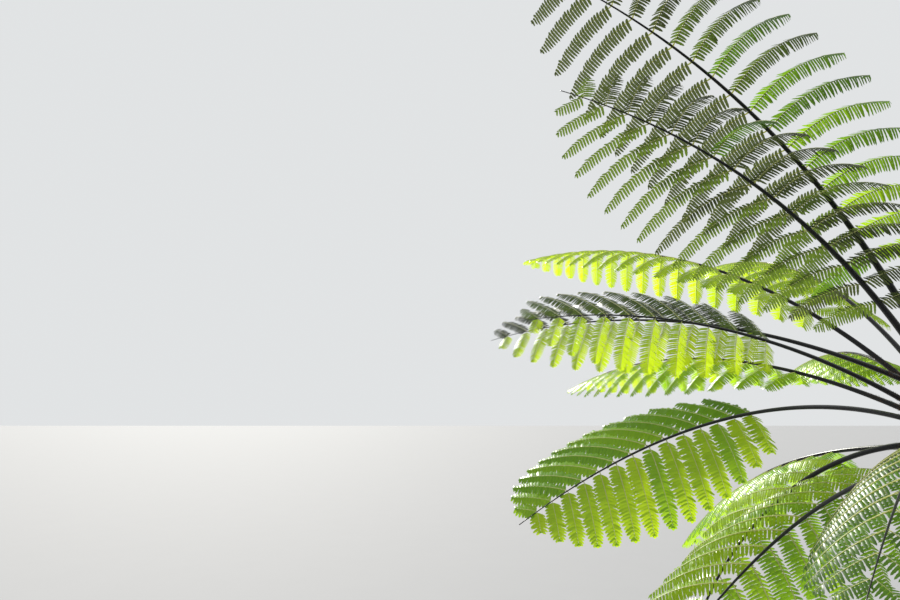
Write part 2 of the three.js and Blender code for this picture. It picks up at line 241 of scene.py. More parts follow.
def dress(name: str, points: Array, triangles: Array, material: bpy.types.Material,
          nodes: list[str]) -> bpy.types.Object:
    """Make one smooth-shaded piece that rides on the plant and stands for nodes of the model.

    Args:
        name: name of the piece.
        points: its points, as (n, 3).
        triangles: its triangles, as (m, 3).
        material: its finish.
        nodes: names of the model's nodes that it stands for.

    Returns:
        the new object.
    """
    mesh = bpy.data.meshes.new(name)
    mesh.vertices.add(len(points))
    mesh.vertices.foreach_set("co", np.ascontiguousarray(points, dtype=np.float32).ravel())
    mesh.loops.add(triangles.size)
    mesh.loops.foreach_set("vertex_index", np.ascontiguousarray(triangles, dtype=np.int32).ravel())
    mesh.polygons.add(len(triangles))
    mesh.polygons.foreach_set("loop_start", np.arange(0, triangles.size, 3, dtype=np.int32))
    mesh.polygons.foreach_set("use_smooth", np.ones(len(triangles), dtype=bool))
    mesh.update(calc_edges=True)
    mesh.validate()
    mesh.materials.append(material)
    piece = bpy.data.objects.new(name, mesh)
    bpy.context.scene.collection.objects.link(piece)
    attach(piece, "root")
    if nodes:
        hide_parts(*nodes)
    log.info("%s: %d triangles", name, len(triangles))
    return piece


@dataclass(frozen=True)
class TrunkShape:
    """Sizes of the trunk, as in the model."""

    crown: float = 2.3
    shoulder: float = 2.33
    tip: float = 2.465
    slender: float = 0.084
    foot: float = 0.168
    flare_height: float = 0.26
    swell: float = 0.012
    swell_at: float = 2.23
    swell_height: float = 0.19
    lean: Pair = (0.072, -0.054)
    lean_power: float = 1.4
    lobes: int = 5
    lobe_depth: float = 0.1

    def axis(self, height: Array) -> Array:
        """Give the middle of the trunk at a height, which leans further the higher it is."""
        share = (np.asarray(height, dtype=float) / self.crown) ** self.lean_power
        return np.stack([self.lean[0] * share, self.lean[1] * share, share * 0.0 + height], axis=-1)

    def radius(self, height: Array) -> Array:
        """Give the mean radius: slender, with a foot that flares and a swelling under the fronds.

        Args:
            height: heights above the ground.

        Returns:
            the radius there, slender + flare * exp(-h / height of the flare) + a bell-shaped swelling.
        """
        flare = (self.foot - self.slender) * np.exp(-height / self.flare_height)
        swell = self.swell * np.exp(-(((height - self.swell_at) / self.swell_height) ** 2))
        return self.slender + flare + swell

    def lobed(self, height: Array, turn: Array) -> Array:
        """Give the factor of the buttresses, 1 + d cos(n turn), whose depth d fades with height."""
        depth = self.lobe_depth * np.exp(-height / self.flare_height)
        return 1.0 + depth * np.cos(self.lobes * turn)


@dataclass(frozen=True)
class FrondPlan:
    """One frond: where it leaves the trunk, how its rib runs and what its leaflets are like.

    Attributes:
        azimuth: the way that it grows, counted from +X.
        rise: how steeply its foot rises.
        arch: how far the rise has fallen at the tip.
        sweep: how far the azimuth has turned at the tip.
        length: length of the rib.
        lift: height of its foot above the crown.
        roll: turn of the whole blade about the rib.
        bare: share of the rib that has no leaflets.
        foot: radius of the stalk.
        droop: how far the leaflets hang at their roots.
        leaflet: length of the leaflets, as a share of the usual.
        breadth: length of the fine blades, as a share of the usual.
        fill: width of a fine blade, as a share of the room that it has.
        hang: how much further than usual the fine blades hang.
        painted_light_tones: right-hand and left-hand side's place among the shades, from 0, darkest, to 1;
            painted light and shade: dark where a side lies in shade, bright where the light comes through it.
        fade: how much the tone rises towards the tip, partly the lighter green of young tips and partly
            painted light and shade along the frond.
        pitch: spacing of the leaflets, as a share of the usual.
    """

    azimuth: float
    rise: float
    arch: float
    sweep: float
    length: float
    lift: float
    roll: float
    bare: float
    foot: float
    droop: float
    leaflet: float
    breadth: float
    fill: float
    hang: float
    # painted light and shade, one tone for each side
    painted_light_tones: Pair
    fade: float
    pitch: float = 1.0


@dataclass(frozen=True)
class LeafletRule:
    """How the leaflets stand on a rib, as in the model, and how their own ribs and shades are."""

    spacing: float = 0.13
    length: float = 0.44
    usual_frond: float = 2.7
    length_power: float = 0.3
    lead: float = 0.4  # place of the first pair, as a share of the spacing
    crowding: float = 0.22
    last: float = 0.985
    forward: float = 72.0
    forward_fall: float = 15.0
    sag: float = 55.0
    sag_length: float = 0.45  # a leaflet shorter than this bends less
    steps: int = 8
    outline: Stops = (
        (0.0, 0.55), (0.1, 0.68), (0.25, 0.9), (0.42, 1.0), (0.6, 0.94), (0.75, 0.79), (0.88, 0.53),
        (0.96, 0.26), (1.0, 0.08),
    )
    cut_back: tuple[float, ...] = (1.0, 0.8, 0.62, 0.46)  # lengths that the model may have
    tip_tolerance: float = 0.001
    rib_radius: float = 0.0032
    rib_limits: Pair = (0.0011, 0.0036)
    rib_rings: int = 15
    rib_corners: int = 5
    rib_end: float = 0.99
    rib_thinning: float = 0.84
    rib_power: float = 0.9
    tone_play: float = 0.38


@dataclass(frozen=True)
class BladeRule:
    """How the fine blades stand on a leaflet, carried on from the model's rule."""

    spacing: float = 0.0138
    smallest: float = 0.62
    fewest: int = 3
    first: float = 0.05
    last: float = 0.985
    crowding: float = 0.12
    reach: float = 0.515
    length_play: float = 0.035
    forward: float = 9.0  # lean towards the leaflet's tip, which grows by the rise
    forward_rise: float = 30.0
    forward_power: int = 4
    forward_play: float = 1.6
    droop: float = 12.0
    droop_play: float = 3.0
    curl: float = 17.0
    curl_play: float = 0.16
    fold: float = 0.2  # how far the edges hang, as a share of the half width
    twist: float = 4.0
    twist_play: float = 3.5
    tip_length: float = 0.02
    tip_room: float = 0.012
    outline: Stops = (
        (0.0, 0.68), (0.08, 0.86), (0.22, 1.0), (0.62, 1.0), (0.78, 0.93), (0.88, 0.77), (0.95, 0.54),
        (1.0, 0.34),
    )
    profile: Stops = (
        (0.0, 0.72), (0.16, 1.0), (0.36, 0.97), (0.45, 0.83), (0.62, 0.93), (0.7, 0.74), (0.86, 0.62),
        (1.0, 0.0),
    )


@dataclass
class RibFrame:
    """Places along a rib with their forward, right-hand and upper directions, each as (n, 3)."""

    place: Array
    forward: Array
    side: Array
    top: Array


@dataclass
class Rib:
    """The stalk and rib of a frond, laid out as in the model, but round and grooved."""

    plan: FrondPlan
    trunk: TrunkShape
    steps: int = 96
    bend: float = 1.2
    reach: float = 0.095  # from the middle of the trunk to the stalk's foot
    sink: float = 0.06  # how far the stalk runs on into the trunk
    taper: float = 1.2
    tip_radius: float = 0.0015
    swell: float = 0.3
    swell_length: float = 0.03
    sunk_rings: int = 3
    rings: int = 110
    ring_power: float = 1.05
    corners: int = 12
    groove: Pair = (0.24, 0.22)
    ways: Array = field(init=False)
    places: Array = field(init=False)

    def __post_init__(self) -> None:
        """Sum the rib's steps, whose rise falls by arch * t^bend and whose azimuth turns by sweep * t."""
        plan = self.plan
        share = np.linspace(0.0, 1.0, self.steps + 1)
        rise = np.radians(plan.rise - plan.arch * share**self.bend)
        turn = np.radians(plan.azimuth + plan.sweep * share)
        self.ways = outwards(turn) * np.cos(rise)[:, None] + UP * np.sin(rise)[:, None]
        foot = self.trunk.axis(self.trunk.crown + plan.lift) + self.reach * outwards(turn[0])
        steps = (self.ways[:-1] + self.ways[1:]) * plan.length / self.steps / 2.0
        self.places = np.concatenate([foot[None], foot + np.cumsum(steps, axis=0)])

    def at(self, share: Array) -> RibFrame:
        """Read the rib at shares of its length, where a share under 0 lies straight behind the foot.

        Args:
            share: shares of the length, as (n,).

        Returns:
            the places and directions there, turned about the rib by the frond's roll.
        """
        plan = self.plan
        step = np.clip(np.floor(share * self.steps).astype(int), 0, self.steps - 1)
        part = np.maximum(share * self.steps - step, 0.0)[:, None]
        place = self.places[step] * (1.0 - part) + self.places[step + 1] * part
        forward = unit(self.ways[step] * (1.0 - part) + self.ways[step + 1] * part)
        place = place + self.ways[0] * np.minimum(share, 0.0)[:, None] * plan.length
        turn = np.radians(plan.azimuth + plan.sweep * np.maximum(share, 0.0))
        level = outwards(turn - 0.5 * np.pi)
        upper = np.cross(level, forward)
        roll = math.radians(plan.roll)
        side = level * math.cos(roll) - upper * math.sin(roll)
        top = upper * math.cos(roll) + level * math.sin(roll)
        return RibFrame(place, forward, side, top)

    def radius(self, share: Array) -> Array:
        """Give the radius, which falls with a power of the way left to the tip and swells at the foot.

        Args:
            share: shares of the length.

        Returns:
            the radius there, (foot * (1 - t)^taper + tip) * (1 + swell * exp(-t / its length)).
        """
        left = 1.0 - np.clip(share, 0.0, 1.0)
        swollen = 1.0 + self.swell * np.exp(-np.maximum(share, 0.0) / self.swell_length)
        return (self.plan.foot * left**self.taper + self.tip_radius) * swollen

    def grow(self, basket: Basket, nodes: tuple[str, ...]) -> None:
        """Sweep the rib from inside the trunk to the tip, with a groove along its top.

        Args:
            basket: where it goes.
            nodes: names of the frond's nodes.
        """
        sunk = np.linspace(-self.sink / self.plan.length, 0.0, self.sunk_rings + 1)[:-1]
        share = np.concatenate([sunk, np.linspace(0.0, 1.0, self.rings) ** self.ring_power])
        at = self.at(share)
        radius = self.radius(share)
        skin = tubes(at.place[None], at.side[None], at.top[None], radius[None], self.corners, self.groove)
        basket.add(*skin, nodes)


@dataclass
class Leaflets:
    """The leaflets of one frond, each array with one row for a leaflet."""

    line: Array
    across: Array
    side: Array
    length: Array
    width: Array
    way: Array
    root_radius: Array


@dataclass
class Frond:
    """One frond: its rib, the ribs of its leaflets and the fine blades on them."""

    name: str
    plan: FrondPlan
    trunk: TrunkShape
    seed: int
    rule: LeafletRule = LeafletRule()
    blade: BladeRule = BladeRule()
    nodes: tuple[str, str] = field(init=False)
    rib: Rib = field(init=False)
    random: np.random.Generator = field(init=False)

    def __post_init__(self) -> None:
        """Lay out the rib, and name the frond's two halves in the model."""
        self.nodes = (f"{self.name}_inner", f"{self.name}_outer")
        self.rib = Rib(self.plan, self.trunk)
        self.random = np.random.default_rng(self.seed)

    def leaflets(self) -> Leaflets:
        """Lay out the leaflets in pairs, at the lengths that the model's solids have room for.

        Returns:
            middle lines, directions across and sizes of all leaflets that the model holds.
        """
        plan, rule = self.plan, self.rule
        blade = rule.last - plan.bare
        pairs = int(math.floor(blade * plan.length / (rule.spacing * plan.pitch) + 0.5))
        share = (np.arange(pairs) + rule.lead) / pairs
        way = share * (1.0 + rule.crowding - rule.crowding * share)
        spacing = blade * (1.0 + rule.crowding - 2.0 * rule.crowding * share) / pairs * plan.length
        place = np.repeat(plan.bare + blade * way, 2)
        way, spacing = np.repeat(way, 2), np.repeat(spacing, 2)
        side = np.tile((1.0, -1.0), pairs)
        lean = np.radians(rule.forward - rule.forward_fall * way)
        longest = rule.length * plan.leaflet * (plan.length / rule.usual_frond) ** rule.length_power
        longest = longest * along(rule.outline, way)
        corners = self.model_corners()
        line = across = np.zeros((len(way), rule.steps + 1, 3))
        kept = np.zeros(len(way))
        for cut in reversed(rule.cut_back):
            tried, wide = self.leaflet_lines(place, side, lean, longest * cut)
            gap = np.linalg.norm(tried[:, -1, None] - corners[None], axis=-1).min(axis=1)
            found = gap < rule.tip_tolerance
            line = np.where(found[:, None, None], tried, line)
            across = np.where(found[:, None, None], wide, across)
            kept = np.where(found, cut, kept)
        grown = kept > 0.0
        width = spacing * np.sin(lean) * np.sqrt(kept)
        radius = np.clip(rule.rib_radius * longest / rule.length, *rule.rib_limits)
        return Leaflets(line[grown], across[grown], side[grown], (longest * kept)[grown], width[grown],
                        way[grown], radius[grown])

    def model_corners(self) -> Array:
        """Read the corners of the frond's two solids in the model.

        Returns:
            the corners, as (n, 3).
        """
        found = []
        for name in self.nodes:
            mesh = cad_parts[name].data
            corners = np.empty(len(mesh.vertices) * 3, dtype=np.float32)
            mesh.vertices.foreach_get("co", corners)
            found.append(corners.reshape(-1, 3))
        return np.concatenate(found)

    def leaflet_lines(self, place: Array, side: Array, lean: Array, length: Array) -> tuple[Array, Array]:
        """Run out leaflets, which leave the rib forwards and turn towards the ground at each step.

        Args:
            place: shares of the rib where they stand, as (n,).
            side: 1 for the right-hand side and -1 for the left, as (n,).
            lean: angles to the rib, in radians, as (n,).
            length: lengths, as (n,).

        Returns:
            the middle lines as (n, steps + 1, 3) and the directions across the blades in the same shape.
        """
        rule = self.rule
        at = self.rib.at(place)
        droop = math.radians(self.plan.droop)
        heading = at.forward * (np.cos(lean) * math.cos(droop))[:, None]
        heading = heading + at.side * (side * np.sin(lean) * math.cos(droop))[:, None]
        heading = heading - at.top * math.sin(droop)
        bend = math.radians(rule.sag) / rule.steps * np.minimum(1.0, length / rule.sag_length)
        places = [at.place]
        across = [square_to(at.forward, heading)]
        for _ in range(rule.steps):
            pull = heading * heading[:, 2:] - UP
            strength = np.linalg.norm(pull, axis=-1)
            turn = bend * strength
            swing = np.sin(turn) / np.maximum(strength, 1e-6)
            heading = heading * np.cos(turn)[:, None] + pull * swing[:, None]
            places.append(places[-1] + heading * (length / rule.steps)[:, None])
            across.append(square_to(across[-1], heading))
        return np.stack(places, axis=1), np.stack(across, axis=1)

    def on_line(self, leaflets: Leaflets, which: Array, way: Array) -> tuple[Array, Array, Array, Array]:
        """Read leaflets' middle lines as smooth curves through their steps.

        Each curve is a cubic between two steps, whose slope at a step is half the way between its
        neighbours.

        Args:
            leaflets: the leaflets.
            which: number of the leaflet for each reading, as (n,).
            way: how far along it, from 0 to 1, as (n,).

        Returns:
            place, heading, direction across and upper direction, each as (n, 3).
        """
        steps = self.rule.steps
        step = np.clip((way * steps).astype(int), 0, steps - 1)
        part = (way * steps - step)[:, None]
        line = leaflets.line
        before = line[which, np.maximum(step - 1, 0)]
        start, end = line[which, step], line[which, step + 1]
        after = line[which, np.minimum(step + 2, steps)]
        slope_in, slope_out = (end - before) / 2.0, (after - start) / 2.0
        square, cube = part**2, part**3
        place = (start * (2 * cube - 3 * square + 1) + slope_in * (cube - 2 * square + part)
                 + end * (3 * square - 2 * cube) + slope_out * (cube - square))
        heading = unit(start * (6 * square - 6 * part) + slope_in * (3 * square - 4 * part + 1)
                       + end * (6 * part - 6 * square) + slope_out * (3 * square - 2 * part))
        wide = leaflets.across[which, step] * (1.0 - part) + leaflets.across[which, step + 1] * part
        wide = square_to(wide, heading)
        upper = np.cross(heading, wide) * leaflets.side[which][:, None]
        return place, heading, wide, upper

    def grow_leaflet_ribs(self, leaflets: Leaflets, basket: Basket) -> None:
        """Sweep a thin rib along each leaflet, out of the frond's rib.

        Its radius falls as (1 - thinning * t)^power.

        Args:
            leaflets: the leaflets.
            basket: where their ribs go.
        """
        rule = self.rule
        count, rings = len(leaflets.side), rule.rib_rings
        way = np.tile(np.linspace(0.0, rule.rib_end, rings), count)
        which = np.repeat(np.arange(count), rings)
        place, _, wide, upper = self.on_line(leaflets, which, way)
        shape = (count, rings, 3)
        left = 1.0 - rule.rib_thinning * np.linspace(0.0, 1.0, rings)[None]
        radii = leaflets.root_radius[:, None] * left**rule.rib_power
        sides = (wide * leaflets.side[which][:, None] * -1.0).reshape(shape)
        skin = tubes(place.reshape(shape), sides, upper.reshape(shape), radii, rule.rib_corners)
        basket.add(*skin, self.nodes)

    def blade_places(self, leaflets: Leaflets) -> tuple[Array, Array, Array, Array]:
        """Space the fine blades along both sides of each leaflet, closer towards its tip.

        One more blade ends each leaflet. It stands on neither side.

        Args:
            leaflets: the leaflets.

        Returns:
            for each blade the number of its leaflet, the way along it, its side of it, which is 1, -1 or
            0, and the room that it has.
        """
        rule = self.blade
        span = rule.last - rule.first
        which, way, side, room = [], [], [], []
        for number, length in enumerate(leaflets.length):
            share_of_usual = min(1.0, length / self.rule.length)
            spacing = rule.spacing * (rule.smallest + (1.0 - rule.smallest) * share_of_usual)
            count = max(rule.fewest, int(round(span * length / spacing)))
            share = (np.arange(count) + 0.5) / count
            which.append(np.full(2 * count, number))
            way.append(np.tile(rule.first + span * share * (1.0 + rule.crowding * (1.0 - share)), 2))
            side.append(np.repeat((1.0, -1.0), count))
            room.append(np.tile(span * (1.0 + rule.crowding * (1.0 - 2.0 * share)) / count * length, 2))
        ends = len(leaflets.side)
        which.append(np.arange(ends))
        way.append(np.full(ends, rule.last))
        side.append(np.zeros(ends))
        room.append(np.full(ends, rule.tip_room))
        return np.concatenate(which), np.concatenate(way), np.concatenate(side), np.concatenate(room)

    def blade_surfaces(self, leaflets: Leaflets) -> tuple[Array, Array]:
        """Work out the surface of each fine blade.

        A blade's middle line starts at the leaflet's rib and curves down by a steady angle: after a way s
        it has gone (sin(d + cs) - sin d) / c outwards and (cos d - cos(d + cs)) / c down, times its
        length. Its two edges hang lower than its middle, and its width follows a lobed profile.

        Args:
            leaflets: the leaflets.

        Returns:
            for each blade the number of its leaflet and its points, as (blades, points, 3).
        """
        rule, play = self.blade, self.random.normal
        which, way, side, room = self.blade_places(leaflets)
        place, heading, wide, upper = self.on_line(leaflets, which, way)
        count, at_tip = len(which), side == 0.0
        lean = rule.forward + rule.forward_rise * way**rule.forward_power
        lean = np.radians(lean + play(0.0, rule.forward_play, count))
        lean = np.where(at_tip, np.pi / 2, lean)[:, None]
        outward = unit(wide * side[:, None] * np.cos(lean) + heading * np.sin(lean))
        edge = unit(np.cross(outward, upper))
        half = leaflets.width[which] * rule.reach * self.plan.breadth * along(rule.outline, way)
        length = np.where(at_tip, rule.tip_length * leaflets.length[which] / self.rule.length, half)
        length = length * (1.0 + play(0.0, rule.length_play, count))
        start = np.radians(rule.droop + self.plan.hang + play(0.0, rule.droop_play, count))[:, None]
        curl = np.radians(rule.curl * (1.0 + play(0.0, rule.curl_play, count)))[:, None]
        turned = leaflets.side[which] * np.where(at_tip, 1.0, side)
        twist = np.radians(rule.twist * turned + play(0.0, rule.twist_play, count))[:, None, None]
        rows, widths = (np.array(values) for values in zip(*rule.profile))
        angle = start + curl * rows[None]
        out = (np.sin(angle) - np.sin(start)) / curl * length[:, None]
        down = (np.cos(start) - np.cos(angle)) / curl * length[:, None]
        middle = place[:, None] + outward[:, None] * out[..., None] - upper[:, None] * down[..., None]
        normal = upper[:, None] * np.cos(angle)[..., None] + outward[:, None] * np.sin(angle)[..., None]
        reach = (room * self.plan.fill / 2.0)[:, None] * widths[None]
        aside = (edge[:, None] * np.cos(twist) + normal * np.sin(twist)) * reach[..., None]
        below = normal * (reach * rule.fold)[..., None]
        left, right = middle - aside - below, middle + aside - below
        surface = np.stack([left[:, :-1], middle[:, :-1], right[:, :-1]], axis=2).reshape(count, -1, 3)
        return which, np.concatenate([surface, middle[:, -1:]], axis=1)

    def blade_triangles(self) -> Array:
        """List the triangles of one blade: a strip of three points a row that ends in a point.

        Returns:
            the triangles, as (m, 3).
        """
        rows = len(self.blade.profile) - 1
        last, tip = (rows - 1) * 3, rows * 3
        strip = grid_triangles(rows, 3, around=False)
        return np.concatenate([strip, [[last, last + 1, tip], [last + 1, last + 2, tip]]])

    def grow_blades(self, leaflets: Leaflets, baskets: list[Basket]) -> None:
        """Grow the fine blades and deal them, a leaflet at a time, among the baskets of leaf shades.

        Args:
            leaflets: the leaflets.
            baskets: one basket for each shade, from the darkest to the lightest.
        """
        which, surface = self.blade_surfaces(leaflets)
        pattern = self.blade_triangles()
        shades = self.deal(leaflets, len(baskets))
        for shade, basket in enumerate(baskets):
            chosen = surface[shades[which] == shade]
            basket.add(chosen.reshape(-1, 3), copies(pattern, len(chosen), surface.shape[1]), self.nodes)

    def deal(self, leaflets: Leaflets, shades: int) -> Array:
        """Deal a shade to each leaflet about its side's tone, which fades along the frond: painted light and
        shade.

        Args:
            leaflets: the leaflets.
            shades: number of shades, from the darkest to the lightest.

        Returns:
            the number of the shade for each leaflet.
        """
        right, left = self.plan.painted_light_tones
        # painted light and shade: each side's tone, dark in shade and bright where the light comes through
        tone = np.where(leaflets.side > 0.0, right, left) + self.plan.fade * leaflets.way
        drawn = tone * (shades - 1) + self.random.normal(0.0, self.rule.tone_play, len(tone))
        return np.clip(np.round(drawn), 0, shades - 1).astype(int)


# In the two tables: azimuth, rise, arch, sweep, length, lift, roll, bare, foot, droop, leaflet, breadth,
# fill, hang, painted_light_tones, fade and, where it isn't the usual, pitch. The tones, and in part the
# fades,
# are painted light and shade: dark where a frond lies in shade, bright where the light comes through it.
SEEN_FRONDS = (
    FrondPlan(
        207, 14, 43, -2, 2.7, -0.08, -38, 0.545, 0.016, 2, 0.74, 1.12, 1.22, 0, (0.55, 0.84), 0.1, 0.65,
    ),
    FrondPlan(212, 43.3, 43, -4, 2.85, 0.026, 14, 0.27, 0.02, -4, 1.15, 0.88, 0.8, 6, (0.12, 0.0), 0.06),
    FrondPlan(205.8, 56.2, 53.5, 2.4, 3.17, 0.112, 30, 0.26, 0.02, 10, 1.25, 0.98, 0.9, 20, (0.3, 0.8), -1.0),
    FrondPlan(229, 11, 37, -3, 2.55, -0.14, 0, 0.25, 0.016, 12, 1, 0.74, 0.8, -2, (0.2, 0.3), 0.1),
    FrondPlan(185, 32, 41.4, 0, 2.35, -0.035, -48, 0.42, 0.016, -5, 0.9, 0.82, 0.92, 4, (0.15, 1.0), 0),
    FrondPlan(173, 28, 44, 0, 2.45, 0.115, -45, 0.38, 0.016, -5, 0.9, 0.82, 0.92, 4, (0.0, 1.0), 0),
    FrondPlan(194, 4, 92, 0, 2.4, -0.125, -30, 0.27, 0.016, 12, 1, 0.86, 0.9, 4, (0.9, 0.6), 0),
    FrondPlan(213, 3, 36, 1, 2.55, -0.215, -30, 0.27, 0.016, 12, 1, 0.8, 0.84, 2, (0.85, 0.6), 0.05),
)
HIDDEN_TIERS = (
    FrondPlan(0, 50, 60, 0, 3.05, 0.042, 0, 0.26, 0.018, 0, 1.06, 1.02, 0.96, 4, (0.66, 0.66), 0.1),
    FrondPlan(0, 4, 50, 0, 2.6, -0.15, 0, 0.26, 0.016, 10, 1.06, 0.98, 0.94, 4, (0.34, 0.34), 0.1),
    FrondPlan(0, 27, 52, 0, 2.85, -0.035, 0, 0.27, 0.017, 4, 1.06, 1.0, 0.96, 4, (0.5, 0.5), 0.1),
)


@dataclass(frozen=True)
class HiddenRule:
    """How the fronds on the far side of the crown are spread, as in the model."""

    count: int = 16
    first: float = 251.0
    step: float = 16.8
    azimuth_play: float = 3.0
    rise_play: float = 5.0
    length_play: float = 0.15
    sweep_play: float = 5.0
    roll_play: float = 14.0
    tone_play: float = 0.08
    lit_azimuth: float = 135.0
    lit_tone: float = 0.2

    def plan(self, index: int) -> FrondPlan:
        """Vary one of the three tiers, taken in turn.

        Args:
            index: number of the frond, from 0.

        Returns:
            the plan of the frond, lighter on the side that the light comes from.
        """
        tier = HIDDEN_TIERS[index % len(HIDDEN_TIERS)]
        azimuth = self.first + self.step * index + self.azimuth_play * vary(index, 1)
        lighter = self.lit_tone * math.cos(math.radians(azimuth - self.lit_azimuth))
        lighter += self.tone_play * vary(index, 6)
        return replace(
            tier,
            azimuth=azimuth,
            rise=tier.rise + self.rise_play * vary(index, 2),
            sweep=self.sweep_play * vary(index, 4),
            length=tier.length + self.length_play * vary(index, 3),
            roll=self.roll_play * vary(index, 5),
            painted_light_tones=tuple(tone + lighter for tone in tier.painted_light_tones),
        )


@dataclass
class Crown:
    """All the fronds, those in the photograph first."""

    trunk: TrunkShape
    hidden: HiddenRule = HiddenRule()
    first_seed: int = 4101

    def fronds(self) -> list[Frond]:
        """Lay out every frond.

        Returns:
            the fronds, named as in the model.
        """
        plans = [*SEEN_FRONDS, *(self.hidden.plan(index) for index in range(self.hidden.count))]
        return [
            Frond(f"frond_{k + 1:02d}", plan, self.trunk, self.first_seed + k) for k, plan in enumerate(plans)
        ]

    def build(self, chaff: "Chaff") -> None:
        """Grow all fronds and join their parts, each kind apart.

        Args:
            chaff: the scales, which also cover the feet of the stalks.
        """
        shades = [
            Basket(f"leaflets_{shade.name.lower()}", LeafFinish.of(shade).material(), Slot.LEAF)
            for shade in Shade
        ]
        ribs = Basket("frond_ribs", StalkFinish().material(), Slot.STALK)
        leaflet_ribs = Basket("leaflet_ribs", RibFinish().material(), Slot.LEAF)
        for frond in self.fronds():
            leaflets = frond.leaflets()
            frond.rib.grow(ribs, frond.nodes)
            frond.grow_leaflet_ribs(leaflets, leaflet_ribs)
            frond.grow_blades(leaflets, shades)
            chaff.cover_stalk(frond)
            log.info("%s: %d leaflets", frond.name, len(leaflets.side))
        for basket in (ribs, leaflet_ribs, *shades):
            basket.join()


@dataclass
class TrunkSurface:
    """The bark: the model's trunk with scars of fallen fronds above and matted roots below.

    Each ridge of the mat is a count of lobes, a share of the depth, a wander, a pace and a start.
    """

    shape: TrunkShape
    rows: int = 520
    dome_rows: int = 26
    columns: int = 150
    scar_rise: float = 0.0062
    scar_turn: float = 137.508
    scar_wide: float = 0.021
    scar_tall: float = 0.027
    scar_height: float = 0.0042
    scar_dent: float = 0.0032
    scars_near: int = 6  # how many scars above and below a place may reach it
    pad_edge: Pair = (0.82, 1.18)
    hollow_edge: Pair = (0.38, 0.74)
    scars_from: Pair = (0.4, 0.95)
    ridges: tuple[tuple[int, float, float, float, float], ...] = (
        (13, 0.42, 2.2, 5.1, 0.4), (21, 0.3, 2.9, 8.3, 1.9), (34, 0.18, 3.6, 13.7, 4.2),
        (47, 0.1, 4.0, 21.0, 2.6),
    )
    ripple: Pair = (0.8, 2.7)  # height, and pace as a share of the ridge's
    mat_depth: float = 0.0075
    mat_middle: float = 0.4
    mat_thinning: float = 0.82
    mat_fade: Pair = (0.35, 1.1)

    def scars(self, height: Array, turn: Array) -> tuple[Array, Array]:
        """Raise the scars of fallen fronds, which stand at steady steps on a golden-angle spiral.

        At a distance e from the nearest scar's middle, in half widths, a scar is a pad that falls away
        round e = 1, with a hollow inside e = 0.6.

        Args:
            height: heights of the rows, as (rows,).
            turn: turns of the columns, as (columns,).

        Returns:
            the relief in metres, and a mask that is 1 on the scars, both as (rows, columns).
        """
        near = np.arange(-self.scars_near, self.scars_near + 1)
        number = np.floor(height / self.scar_rise)[:, None, None] + near
        up = (height[:, None, None] - number * self.scar_rise) / self.scar_tall
        off = turn[None, :, None] - np.radians(number * self.scar_turn)
        off = (off + np.pi) % (2.0 * np.pi) - np.pi
        across = off * self.shape.radius(height)[:, None, None] / self.scar_wide
        nearest = np.sqrt(up**2 + across**2).min(axis=-1)
        pad = 1.0 - ease(*self.pad_edge, nearest)
        hollow = 1.0 - ease(*self.hollow_edge, nearest)
        shown = ease(*self.scars_from, height)[:, None]
        return (self.scar_height * pad - self.scar_dent * hollow) * shown, pad * shown

    def mat(self, height: Array, turn: Array) -> Array:
        """Lay matted roots round the foot, a sum of ridges 1 - |sin| that wander as they run down.

        Args:
            height: heights of the rows, as (rows,).
            turn: turns of the columns, as (columns,).

        Returns:
            the relief in metres, as (rows, columns).
        """
        relief = np.zeros((len(height), len(turn)))
        swing, pace_of_ripple = self.ripple
        for lobes, share, wander, pace, start in self.ridges:
            shift = wander * np.sin(pace * height + start) + swing * np.sin(pace_of_ripple * pace * height)
            relief += share * (1.0 - np.abs(np.sin(0.5 * (lobes * turn[None] + shift[:, None]))))
        shown = 1.0 - self.mat_thinning * ease(*self.mat_fade, height)
        return self.mat_depth * (relief - self.mat_middle) * shown[:, None]

    def build(self) -> None:
        """Make the skin of the trunk with its rounded top, and lay the scars' mask on its points."""
        shape = self.shape
        turn = -2.0 * np.pi * np.arange(self.columns) / self.columns
        height = np.linspace(0.0, shape.shoulder, self.rows)
        scars, mask = self.scars(height, turn)
        radius = shape.radius(height)[:, None] * shape.lobed(height[:, None], turn[None])
        radius = radius + scars + self.mat(height, turn)
        angle = np.linspace(0.0, 0.5 * np.pi, self.dome_rows + 2)[1:-1]
        height = np.concatenate([height, shape.shoulder + (shape.tip - shape.shoulder) * np.sin(angle)])
        radius = np.concatenate([radius, radius[-1:] * np.cos(angle)[:, None]])
        skin = shape.axis(height)[:, None] + radius[..., None] * outwards(turn)[None]
        points = np.concatenate([skin.reshape(-1, 3), [shape.axis(0.0), shape.axis(shape.tip)]])
        triangles = shell_triangles(*skin.shape[:2])
        piece = dress("trunk_bark", points, triangles, BarkFinish().material(), ["trunk"])
        painted = np.zeros(len(points), dtype=np.float32)
        painted[:mask.size] = mask.ravel()
        piece.data.attributes.new(BarkFinish.MASK, "FLOAT", "POINT").data.foreach_set("value", painted)


